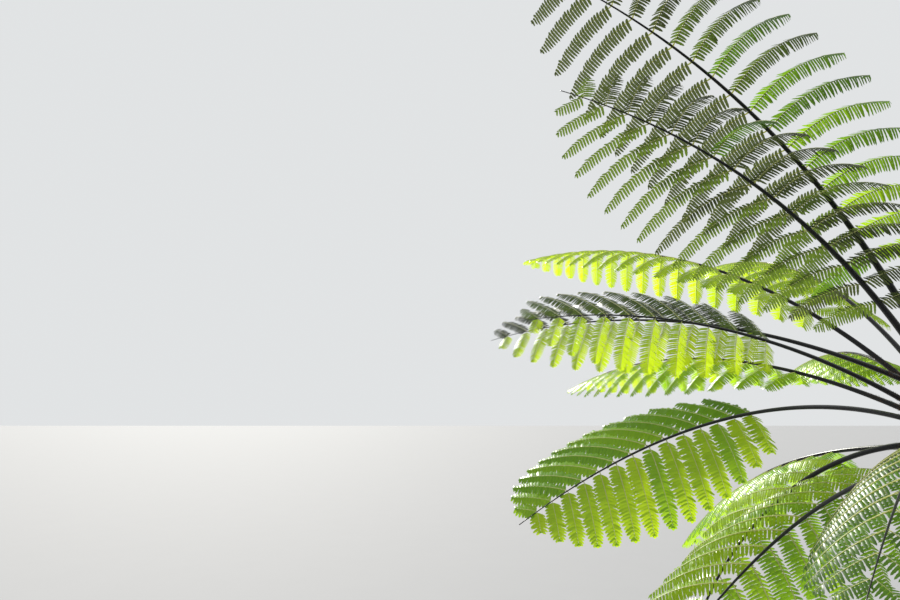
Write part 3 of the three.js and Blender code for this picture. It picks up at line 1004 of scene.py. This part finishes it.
@dataclass
class RootStrands:
    """Thin dead roots that hang down the lower trunk and mat round its foot."""

    shape: TrunkShape
    count: int = 150
    seed: int = 77
    rings: int = 28
    corners: int = 6
    starts: Pair = (0.16, 1.0)
    start_power: float = 1.3
    highest: float = 1.1
    paces: Pair = (2.0, 6.0)
    sway: Triple = (0.1, 2.0, 3.0)
    shiver: Pair = (0.03, 9.0)
    dip: Triple = (0.5, 5.0, 0.55)
    stand_off: float = 0.0035
    thickness: Pair = (0.0017, 0.0042)
    thin_start: Pair = (0.35, 6.0)
    swelling: float = 0.25
    random: np.random.Generator = field(init=False)

    def __post_init__(self) -> None:
        """Seed the draws."""
        self.random = np.random.default_rng(self.seed)

    def draw(self, limits: Pair) -> Array:
        """Draw a number within two limits for each strand."""
        return self.random.uniform(*limits, self.count)

    def build(self) -> None:
        """Sweep every strand down the trunk, wandering a little to either side.

        After a share s of its way down, a strand has swayed round the trunk by 0.1 sin(2 pace s + 3 start)
        and by 0.03 sin(9 pace s). It dips in and out of the bark by 0.5 sin(5 pace s + start) of its
        radius, stands further off towards its end, and comes out of the bark thin.
        """
        share = np.linspace(0.0, 1.0, self.rings)[None]
        top = self.draw(self.starts) ** self.start_power * self.highest
        height = (top[:, None] * (1.0 - share)).clip(0.0, None)
        start = self.draw((0.0, 2.0 * np.pi))[:, None]
        pace = self.draw(self.paces)[:, None]
        swing, faster, shifted = self.sway
        turn = start + swing * np.sin(pace * share * faster + start * shifted)
        swing, faster = self.shiver
        turn = turn + swing * np.sin(pace * share * faster)
        thick = self.draw(self.thickness)[:, None]
        swing, faster, middle = self.dip
        proud = thick * (middle + swing * np.sin(pace * share * faster + start)) + self.stand_off * share
        radius = self.shape.radius(height) * self.shape.lobed(height, turn) + proud
        out = outwards(turn)
        centres = self.shape.axis(height) + radius[..., None] * out
        _, sides, tops = directions(centres, out)
        least, quickly = self.thin_start
        grown = least + (1.0 - least) * np.minimum(1.0, quickly * share)
        radii = thick * grown * (1.0 + self.swelling * share)
        points, triangles = tubes(centres, sides, tops, radii, self.corners)
        points[:, 2] = np.maximum(points[:, 2], 0.0)
        basket = Basket("root_strands", RootFinish().material(), Slot.BARK)
        basket.add(points, triangles, ("trunk",))
        basket.join()


@dataclass
class Crozier:
    """A young frond: a stout stem that rolls up inwards, with the leaflets rolled up along it."""

    name: str
    trunk: TrunkShape
    azimuth: float
    height: float
    lean: float
    foot_reach: float = 0.026
    sink: float = 0.04
    foot_radius: float = 0.015
    neck_radius: float = 0.011
    end_radius: float = 0.004
    coil_turns: float = 1.3
    coil_radius: float = 0.044
    coil_end: float = 0.013
    stem_rings: int = 15
    coil_rings: int = 64
    corners: int = 14
    scales: int = 1100
    scale_length: float = 0.017
    hook_pairs: int = 15
    hooks_along: Pair = (0.2, 0.97)
    hook_rings: int = 9
    hook_corners: int = 6
    hook_turn: float = 1.55 * math.pi
    hook_size: float = 0.62
    hook_root: Pair = (0.75, 0.4)  # aside and inwards
    hook_closing: float = 0.09
    hook_radius: Pair = (0.5, 0.035)  # at its root, and how much less after each radian
    stem: float = field(init=False)
    binormal: Array = field(init=False)
    rise: Array = field(init=False)
    inward: Array = field(init=False)
    foot: Array = field(init=False)
    centre: Array = field(init=False)

    def __post_init__(self) -> None:
        """Set up the directions and places that the roll is worked out from."""
        lean = math.radians(self.lean)
        out = outwards(np.radians(self.azimuth))
        self.binormal = np.cross(UP, out)
        self.rise = UP * math.cos(lean) + out * math.sin(lean)
        self.inward = np.cross(self.rise, self.binormal)
        self.foot = self.trunk.axis(self.trunk.tip) + out * self.foot_reach - self.rise * self.sink
        self.stem = self.height + self.sink - self.coil_radius
        self.centre = self.foot + self.rise * self.stem + self.inward * self.coil_radius

    def line(self, way: Array) -> tuple[Array, Array, Array]:
        """Read the middle line, whose stem is straight from -1 to 0 and whose roll is from 0 to 1.

        Args:
            way: places along it.

        Returns:
            the places, the directions away from the roll's middle and the radii.
        """
        coil = np.clip(way, 0.0, 1.0)[:, None]
        stem = np.clip(way + 1.0, 0.0, 1.0)[:, None]
        turn = 2.0 * np.pi * self.coil_turns * coil
        away = self.rise * np.sin(turn) - self.inward * np.cos(turn)
        rolled = self.centre + away * (self.coil_radius + (self.coil_end - self.coil_radius) * coil)
        straight = self.foot + self.rise * self.stem * stem
        place = np.where(way[:, None] < 0.0, straight, rolled)
        radius = np.where(
            way < 0.0,
            self.foot_radius + (self.neck_radius - self.foot_radius) * stem[:, 0],
            self.neck_radius + (self.end_radius - self.neck_radius) * coil[:, 0],
        )
        return place, away, radius

    def build(self, stalks: Basket, chaff: "Chaff") -> None:
        """Sweep the stem and the roll, set the rolled leaflets along both sides, and cover it in scales.

        Args:
            stalks: the basket of the croziers.
            chaff: the scales.
        """
        stem = np.linspace(-1.0, 0.0, self.stem_rings + 1)[:-1]
        place, away, radius = self.line(np.concatenate([stem, np.linspace(0.0, 1.0, self.coil_rings)]))
        forward, sides, tops = directions(place, away)
        skin = tubes(place[None], sides[None], tops[None], radius[None], self.corners)
        stalks.add(*skin, (self.name,))
        self.roll_leaflets(stalks)
        chaff.cover(RibFrame(place, forward, sides, tops), radius, self.scales, self.scale_length, self.name)

    def roll_leaflets(self, stalks: Basket) -> None:
        """Set small rolled leaflets in pairs along the roll, each a hook of three quarters of a turn.

        After an angle a, a hook has gone sin a aside and 1 - cos a inwards, times its size, and closes
        a little as it goes.

        Args:
            stalks: the basket of the croziers.
        """
        way = np.repeat(np.linspace(*self.hooks_along, self.hook_pairs), 2)
        hand = np.tile((1.0, -1.0), self.hook_pairs)[:, None, None]
        place, away, radius = self.line(way)
        size = (radius * self.hook_size)[:, None, None]
        turn = np.linspace(0.0, self.hook_turn, self.hook_rings)[None, :, None]
        aside, inwards = self.hook_root
        root = place[:, None] + self.binormal * hand * (radius * aside)[:, None, None]
        root = root - away[:, None] * size * inwards
        hook = self.binormal * hand * np.sin(turn) * size - away[:, None] * (1.0 - np.cos(turn)) * size
        centres = root + hook * (1.0 - self.hook_closing * turn)
        upwards = np.cross(away, self.binormal)[:, None] * np.ones_like(centres)
        _, sides, tops = directions(centres, upwards)
        thick, thinning = self.hook_radius
        radii = (size * (thick - thinning * turn))[..., 0]
        stalks.add(*tubes(centres, sides, tops, radii, self.hook_corners))


@dataclass
class YoungFronds:
    """The croziers in the middle of the crown."""

    trunk: TrunkShape
    places: tuple[Triple, ...] = ((20, 0.29, 9), (140, 0.41, 8), (262, 0.53, 7))

    def build(self, chaff: "Chaff") -> None:
        """Roll up a crozier for each azimuth, height and lean, and join them.

        Args:
            chaff: the scales.
        """
        stalks = Basket("croziers", CrozierFinish().material(), Slot.STALK)
        for number, place in enumerate(self.places, start=1):
            Crozier(f"crozier_{number}", self.trunk, *place).build(stalks, chaff)
        stalks.join()


@dataclass
class Chaff:
    """Narrow brown scales on the feet of the fronds, the croziers and the top of the trunk."""

    trunk: TrunkShape
    seed: int = 905
    lifts: Pair = (12.0, 48.0)
    stations: tuple[float, ...] = (0.0, 0.35, 0.72, 1.0)
    half_widths: tuple[float, ...] = (0.035, 0.06, 0.036, 0.0)
    bend: float = 0.45
    run_on: float = 0.2
    bedding: float = 0.96  # share of the stalk's radius at which they stand
    crozier_shortening: float = 0.6
    crozier_sizes: Pair = (0.6, 1.15)
    crozier_play: float = 0.25
    stalk_share: float = 0.16
    stalk_share_play: Pair = (0.85, 1.15)
    stalk_rows: int = 30
    stalk_scales: int = 560
    stalk_crowding: float = 2.0
    stalk_length: float = 0.027
    stalk_shortening: float = 0.65
    stalk_play: float = 0.22
    sizes: Pair = (0.6, 1.2)
    top_scales: int = 2600
    top_length: float = 0.034
    top_reach: float = 0.98
    top_tilt: float = 0.8
    top_spread: float = 0.3
    random: np.random.Generator = field(init=False)
    basket: Basket = field(init=False)

    def __post_init__(self) -> None:
        """Start with no scales."""
        self.random = np.random.default_rng(self.seed)
        self.basket = Basket("chaffy_scales", ScaleFinish().material(), Slot.STALK)

    def lay(self, root: Array, out: Array, growth: Array, length: Array, nodes: tuple[str, ...]) -> None:
        """Lay scales, each a narrow blade that leaves the skin and bends back over it.

        Args:
            root: places on the skin, as (n, 3).
            out: directions out of the skin, as (n, 3).
            growth: directions along the skin in which they lie, as (n, 3).
            length: lengths, as (n,).
            nodes: names of the model's nodes that they help to stand for.
        """
        count = len(root)
        share = np.array(self.stations)[None, :, None]
        lift = np.radians(self.random.uniform(*self.lifts, count))[:, None, None]
        rise = np.sin(lift) * share * (1.0 - self.bend * share)
        run = np.cos(lift) * share + self.run_on * np.sin(lift) * share**2
        size = length[:, None, None]
        middle = root[:, None] + size * (out[:, None] * rise + growth[:, None] * run)
        aside = np.cross(out, growth)[:, None] * (size * np.array(self.half_widths)[None, :, None])
        left, right = middle - aside, middle + aside
        pairs = np.stack([left[:, :3], right[:, :3]], axis=2).reshape(count, 6, 3)
        points = np.concatenate([pairs, middle[:, 3:]], axis=1)
        pattern = np.array(((0, 2, 1), (1, 2, 3), (2, 4, 3), (3, 4, 5), (4, 6, 5)))
        self.basket.add(points.reshape(-1, 3), copies(pattern, count, points.shape[1]), nodes)

    def cover(self, stem: RibFrame, radius: Array, count: int, length: float, node: str) -> None:
        """Scatter scales evenly over a crozier, shorter the further along it.

        Args:
            stem: places and directions along its middle line.
            radius: radius there, as (n,).
            count: number of scales.
            length: length of the longest.
            node: name of the model's node.
        """
        share = self.random.uniform(0.0, 1.0, count)
        last = len(radius) - 1
        row = np.minimum((share * last).astype(int), last - 1)
        part = (share * last - row)[:, None]
        turn = self.random.uniform(0.0, 2.0 * np.pi, count)[:, None]
        place, growth, side, top, thick = (
            values[row] * (1.0 - part) + values[row + 1] * part
            for values in (stem.place, stem.forward, stem.side, stem.top, radius[:, None])
        )
        out = unit(side * np.cos(turn) + top * np.sin(turn))
        root = place + out * thick * self.bedding
        way = square_to(growth + self.random.normal(0.0, self.crozier_play, (count, 3)), out)
        size = length * (1.0 - self.crozier_shortening * share)
        self.lay(root, out, way, size * self.random.uniform(*self.crozier_sizes, count), (node,))

    def cover_stalk(self, frond: Frond) -> None:
        """Scatter scales over the foot of a frond's stalk, fewer and shorter the further along it.

        Args:
            frond: the frond.
        """
        far = self.stalk_share * self.random.uniform(*self.stalk_share_play)
        share = np.linspace(0.0, far, self.stalk_rows)
        at = frond.rib.at(share)
        radius = frond.rib.radius(share)
        count, last = self.stalk_scales, self.stalk_rows - 1
        crowd = self.random.uniform(0.0, 1.0, count) ** self.stalk_crowding
        row = np.minimum((crowd * last).astype(int), last - 1)
        turn = self.random.uniform(0.0, 2.0 * np.pi, count)[:, None]
        out = at.side[row] * np.cos(turn) + at.top[row] * np.sin(turn)
        part = self.random.uniform(0.0, 1.0, (count, 1))
        root = at.place[row] + (at.place[row + 1] - at.place[row]) * part
        root = root + out * radius[row][:, None] * self.bedding
        way = square_to(at.forward[row] + self.random.normal(0.0, self.stalk_play, (count, 3)), out)
        size = self.stalk_length * (1.0 - self.stalk_shortening * crowd)
        self.lay(root, out, way, size * self.random.uniform(*self.sizes, count), frond.nodes[:1])

    def cover_top(self) -> None:
        """Scatter long scales over the rounded top of the trunk, pointing up and outwards."""
        trunk, count = self.trunk, self.top_scales
        angle = np.arcsin(self.random.uniform(0.0, 1.0, count)) * self.top_reach
        around = outwards(self.random.uniform(0.0, 2.0 * np.pi, count))
        radius = trunk.radius(trunk.shoulder) * np.cos(angle)
        height = trunk.shoulder + (trunk.tip - trunk.shoulder) * np.sin(angle)
        root = trunk.axis(height) + around * radius[:, None]
        out = unit(around * np.cos(angle)[:, None] + UP * np.sin(angle)[:, None] * self.top_tilt)
        play = self.random.normal(0.0, self.top_spread, (count, 3))
        way = square_to(UP + around * self.top_spread + play, out)
        self.lay(root, out, way, self.top_length * self.random.uniform(*self.sizes, count), ("trunk",))


def add_node(tree: bpy.types.NodeTree, kind: str,
             inputs: dict[str | int, bpy.types.NodeSocket | float | tuple[float, ...]],
             **options: str | bool) -> bpy.types.Node:
    """Add a shader node to a tree.

    Args:
        tree: the material's or group's nodes.
        kind: type of the node, without the words ShaderNode.
        inputs: for each input, by name or number, the socket that feeds it or the value that it has.
        options: settings of the node.

    Returns:
        the new node.
    """
    node = tree.nodes.new(f"ShaderNode{kind}")
    for option, choice in options.items():
        setattr(node, option, choice)
    for place, value in inputs.items():
        if isinstance(value, bpy.types.NodeSocket):
            tree.links.new(value, node.inputs[place])
        else:
            node.inputs[place].default_value = value
    return node


class Grain:
    """The node group that finishes share: a soft mottling and a fine grain."""

    NAME = "Grain"
    INPUTS = (
        ("Light", "NodeSocketColor", (1, 1, 1, 1)), ("Dark", "NodeSocketColor", (0, 0, 0, 1)),
        ("Scale", "NodeSocketFloat", 60.0), ("Stretch", "NodeSocketFloat", 1.0),
        ("Contrast", "NodeSocketFloat", 1.0),
    )
    OUTPUTS = (("Colour", "NodeSocketColor"), ("Mask", "NodeSocketFloat"), ("Height", "NodeSocketFloat"))
    FINER = 6.0

    @classmethod
    def group(cls) -> bpy.types.NodeTree:
        """Give the group, building it the first time.

        The mask is a noise of the object's own coordinates times Scale, stretched along Z and made as
        hard as Contrast says. The colour runs from Dark to Light with it, and the height is a noise six
        times finer.

        Returns:
            the node group.
        """
        found = bpy.data.node_groups.get(cls.NAME)
        if found:
            return found
        tree = bpy.data.node_groups.new(cls.NAME, "ShaderNodeTree")
        for name, kind, value in cls.INPUTS:
            tree.interface.new_socket(name, in_out="INPUT", socket_type=kind).default_value = value
        for name, kind in cls.OUTPUTS:
            tree.interface.new_socket(name, in_out="OUTPUT", socket_type=kind)
        given = tree.nodes.new("NodeGroupInput").outputs
        place = add_node(tree, "TexCoord", {}).outputs["Object"]
        stretch = add_node(tree, "CombineXYZ", {"X": 1.0, "Y": 1.0, "Z": given["Stretch"]}).outputs["Vector"]
        longer = add_node(tree, "VectorMath", {0: place, 1: stretch}, operation="MULTIPLY").outputs["Vector"]
        coarse = add_node(tree, "TexNoise", {"Vector": longer, "Scale": given["Scale"], "Detail": 3.0})
        centred = add_node(tree, "Math", {0: coarse.outputs["Fac"], 1: 0.5}, operation="SUBTRACT")
        harder = add_node(
            tree, "Math", {0: centred.outputs["Value"], 1: given["Contrast"], 2: 0.5},
            operation="MULTIPLY_ADD", use_clamp=True,
        ).outputs["Value"]
        mixed = add_node(
            tree, "Mix", {"Factor": harder, MIX_FIRST: given["Dark"], MIX_SECOND: given["Light"]},
            data_type="RGBA",
        )
        finer = add_node(tree, "Math", {0: given["Scale"], 1: cls.FINER}, operation="MULTIPLY")
        fine = add_node(
            tree, "TexNoise", {"Vector": longer, "Scale": finer.outputs["Value"], "Detail": 2.0},
        )
        end = tree.nodes.new("NodeGroupOutput").inputs
        tree.links.new(mixed.outputs[MIX_RESULT], end["Colour"])
        tree.links.new(harder, end["Mask"])
        tree.links.new(fine.outputs["Fac"], end["Height"])
        return tree


@dataclass(frozen=True)
class Finish:
    """A finish that mottles between two colours, with a fine grain in its relief."""

    name: str = "finish"
    light: Triple = (0.5, 0.5, 0.5)
    dark: Triple = (0.3, 0.3, 0.3)
    scale: float = 60.0
    stretch: float = 1.0
    contrast: float = 2.0
    roughness: float = 0.6
    specular: float = 0.5
    relief: float = 0.3
    relief_depth: float = 0.001

    def material(self) -> bpy.types.Material:
        """Build the material.

        Returns:
            the material, with a Principled shader fed by the shared grain.
        """
        made = bpy.data.materials.new(self.name)
        made.use_nodes = True
        tree = made.node_tree
        shader = tree.nodes["Principled BSDF"]
        grain = tree.nodes.new("ShaderNodeGroup")
        grain.node_tree = Grain.group()
        grain.inputs["Light"].default_value = (*self.light, 1.0)
        grain.inputs["Dark"].default_value = (*self.dark, 1.0)
        grain.inputs["Scale"].default_value = self.scale
        grain.inputs["Stretch"].default_value = self.stretch
        grain.inputs["Contrast"].default_value = self.contrast
        bump = add_node(tree, "Bump", {
            "Strength": self.relief, "Distance": self.relief_depth, "Height": grain.outputs["Height"],
        })
        tree.links.new(bump.outputs["Normal"], shader.inputs["Normal"])
        tree.links.new(grain.outputs["Colour"], shader.inputs["Base Color"])
        shader.inputs["Roughness"].default_value = self.roughness
        shader.inputs["Specular IOR Level"].default_value = self.specular
        self.complete(tree, shader, grain)
        return made

    def complete(self, tree: bpy.types.NodeTree, shader: bpy.types.Node, grain: bpy.types.Node) -> None:
        """Add what only this finish has. A plain finish adds nothing."""


class Shade(Enum):
    """Shades of green, dealt out as painted light and shade: skin and glow.

    They run from leaves darkened as in shade to leaves brightened as though the light came through them.
    """

    DEEP_OLIVE = ((0.036, 0.045, 0.022), (0.06, 0.08, 0.02))
    OLIVE = ((0.045, 0.07, 0.022), (0.1, 0.16, 0.016))
    DEEP_GREEN = ((0.045, 0.11, 0.016), (0.13, 0.27, 0.012))
    MID_GREEN = ((0.065, 0.16, 0.016), (0.2, 0.4, 0.012))
    FRESH_GREEN = ((0.085, 0.21, 0.016), (0.3, 0.54, 0.012))
    LIGHT_GREEN = ((0.115, 0.26, 0.016), (0.41, 0.65, 0.012))
    YELLOW_GREEN = ((0.16, 0.31, 0.016), (0.55, 0.75, 0.012))
    BRIGHT_YELLOW_GREEN = ((0.2, 0.36, 0.016), (0.63, 0.82, 0.012))


@dataclass(frozen=True)
class ThinFinish(Finish):
    """A thin living part, which lets some light through in a colour of its own."""

    glow: Triple = (0.2, 0.4, 0.02)
    clearness: float = 0.5

    def complete(self, tree: bpy.types.NodeTree, shader: bpy.types.Node, grain: bpy.types.Node) -> None:
        """Mix in the light that comes through.

        Args:
            tree: the material's nodes.
            shader: its Principled shader.
            grain: its shared grain, not used here.
        """
        through = add_node(tree, "BsdfTranslucent", {"Color": (*self.glow, 1.0)})
        both = add_node(tree, "MixShader", {
            "Fac": self.clearness, 1: shader.outputs["BSDF"], 2: through.outputs["BSDF"],
        })
        tree.links.new(both.outputs["Shader"], tree.nodes["Material Output"].inputs["Surface"])


@dataclass(frozen=True)
class LeafFinish(ThinFinish):
    """A thin green blade with a gloss, which lets light through in a yellower green."""

    LIGHTER, DARKER = 1.1, 0.88

    scale: float = 45.0
    contrast: float = 1.4
    roughness: float = 0.33
    specular: float = 0.46
    relief: float = 0.16
    relief_depth: float = 0.0006

    @classmethod
    def of(cls, shade: Shade) -> "LeafFinish":
        """Take both colours from a shade.

        Args:
            shade: the shade of green.

        Returns:
            the finish, whose skin mottles a little lighter and darker.
        """
        skin, glow = shade.value
        light = tuple(cls.LIGHTER * part for part in skin)
        dark = tuple(cls.DARKER * part for part in skin)
        return cls(name=f"leaf_{shade.name.lower()}", light=light, dark=dark, glow=glow)


@dataclass(frozen=True)
class RibFinish(ThinFinish):
    """The pale straw of the leaflets' ribs, partly their own colour and partly a painted highlight that
    lightens them towards white.
    """

    name: str = "leaflet_rib_straw"
    # partly a painted highlight: lighter than the ribs' own straw
    light: Triple = (0.72, 0.72, 0.42)
    dark: Triple = (0.5, 0.51, 0.24)
    scale: float = 40.0
    roughness: float = 0.4
    relief: float = 0.1
    glow: Triple = (0.7, 0.72, 0.26)


@dataclass(frozen=True)
class StalkFinish(Finish):
    """The near-black stalk, tinted a little blue as a painted sheen on its gloss."""

    name: str = "stalk_black"
    # the touch of blue in these colours is a painted sheen
    light: Triple = (0.01, 0.0095, 0.014)
    dark: Triple = (0.004, 0.0035, 0.0045)
    scale: float = 55.0
    contrast: float = 2.2
    roughness: float = 0.3
    specular: float = 0.32
    relief: float = 0.35
    relief_depth: float = 0.0006


@dataclass(frozen=True)
class CrozierFinish(Finish):
    """The brown felt of a young frond that is still rolled up."""

    name: str = "crozier_brown"
    light: Triple = (0.1, 0.06, 0.032)
    dark: Triple = (0.03, 0.018, 0.011)
    scale: float = 90.0
    contrast: float = 2.4
    roughness: float = 0.75
    specular: float = 0.3
    relief: float = 0.5
    relief_depth: float = 0.0012


@dataclass(frozen=True)
class RootFinish(Finish):
    """Dry dead roots."""

    name: str = "root_brown"
    light: Triple = (0.085, 0.056, 0.036)
    dark: Triple = (0.028, 0.018, 0.012)
    stretch: float = 0.3
    contrast: float = 2.6
    roughness: float = 0.85
    specular: float = 0.3
    relief: float = 0.5


@dataclass(frozen=True)
class ScaleFinish(Finish):
    """Papery scales."""

    name: str = "scale_brown"
    light: Triple = (0.19, 0.105, 0.05)
    dark: Triple = (0.06, 0.03, 0.016)
    scale: float = 70.0
    contrast: float = 2.6
    relief: float = 0.2


@dataclass(frozen=True)
class BarkFinish(Finish):
    """Dark fibrous bark with paler scars."""

    MASK = "scar"

    name: str = "bark_brown"
    light: Triple = (0.075, 0.052, 0.036)
    dark: Triple = (0.018, 0.013, 0.01)
    scale: float = 70.0
    stretch: float = 0.28
    contrast: float = 2.4
    roughness: float = 0.88
    specular: float = 0.25
    relief: float = 0.8
    relief_depth: float = 0.002
    scar: Triple = (0.2, 0.145, 0.095)
    scar_share: float = 0.6

    def complete(self, tree: bpy.types.NodeTree, shader: bpy.types.Node, grain: bpy.types.Node) -> None:
        """Lighten the scars by the mask that lies on the mesh.

        Args:
            tree: the material's nodes.
            shader: its Principled shader.
            grain: its shared grain.
        """
        mask = add_node(tree, "Attribute", {}, attribute_name=self.MASK).outputs["Fac"]
        part = add_node(tree, "Math", {0: mask, 1: self.scar_share}, operation="MULTIPLY")
        mixed = add_node(tree, "Mix", {
            "Factor": part.outputs["Value"], MIX_FIRST: grain.outputs["Colour"],
            MIX_SECOND: (*self.scar, 1.0),
        }, data_type="RGBA")
        tree.links.new(mixed.outputs[MIX_RESULT], shader.inputs["Base Color"])


@dataclass(frozen=True)
class FloorFinish(Finish):
    """Pale matt floor."""

    name: str = "floor_pale"
    light: Triple = (0.25, 0.254, 0.265)
    dark: Triple = (0.242, 0.246, 0.257)
    scale: float = 1.5
    contrast: float = 1.0
    roughness: float = 0.9
    relief: float = 0.02


@dataclass(frozen=True)
class CameraView:
    """The photograph's view: from below the crown, level with its side, a little upwards."""

    place: Triple = (-2.6013, -3.5105, 2.323)
    tilt: float = 100.0
    lens: float = 26.2
    sensor: float = 36.0
    sight: float = 400.0

    def build(self) -> None:
        """Make the camera and look through it."""
        data = bpy.data.cameras.new("photograph_view")
        data.lens = self.lens
        data.sensor_width = self.sensor
        data.clip_end = self.sight
        camera = bpy.data.objects.new("photograph_view", data)
        camera.location = self.place
        camera.rotation_euler = (math.radians(self.tilt), 0.0, 0.0)
        bpy.context.scene.collection.objects.link(camera)
        bpy.context.scene.camera = camera


@dataclass(frozen=True)
class Studio:
    """A plain pale floor under a plain pale sky, with one broad, distant light behind the leaves."""

    half: float = 150.0
    sky: Triple = (0.92, 0.94, 0.95)
    sky_strength: float = 0.82
    light_from: Triple = (-0.3, 0.82, 0.62)
    light_strength: float = 7.2
    light_spread: float = 6.0
    light_colour: Triple = (1.0, 0.97, 0.9)

    def build(self) -> None:
        """Make the floor, the sky and the light, and show colours as they are."""
        half = self.half
        mesh = bpy.data.meshes.new("pale_floor")
        corners = [(-half, -half, 0.0), (half, -half, 0.0), (half, half, 0.0), (-half, half, 0.0)]
        mesh.from_pydata(corners, [], [(0, 1, 2, 3)])
        mesh.materials.append(FloorFinish().material())
        floor = bpy.data.objects.new("pale_floor", mesh)
        bpy.context.scene.collection.objects.link(floor)
        world = bpy.data.worlds.new("pale_sky")
        world.use_nodes = True
        sky = world.node_tree.nodes["Background"]
        sky.inputs["Color"].default_value = (*self.sky, 1.0)
        sky.inputs["Strength"].default_value = self.sky_strength
        bpy.context.scene.world = world
        data = bpy.data.lights.new("back_light", "SUN")
        data.energy = self.light_strength
        data.angle = math.radians(self.light_spread)
        data.color = self.light_colour
        light = bpy.data.objects.new("back_light", data)
        light.rotation_euler = Vector(self.light_from).to_track_quat("Z", "Y").to_euler()
        bpy.context.scene.collection.objects.link(light)
        view = bpy.context.scene.view_settings
        view.view_transform = "Standard"
        view.look = "None"


def main() -> None:
    """Build the plant, the studio and the camera, and report each piece."""
    logging.basicConfig(level=logging.INFO, format="%(name)s: %(message)s")
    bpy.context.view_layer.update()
    CameraView().build()
    Studio().build()
    trunk = TrunkShape()
    TrunkSurface(trunk).build()
    RootStrands(trunk).build()
    chaff = Chaff(trunk)
    Crown(trunk).build(chaff)
    YoungFronds(trunk).build(chaff)
    chaff.cover_top()
    chaff.basket.join()


if __name__ == "__main__":
    main()
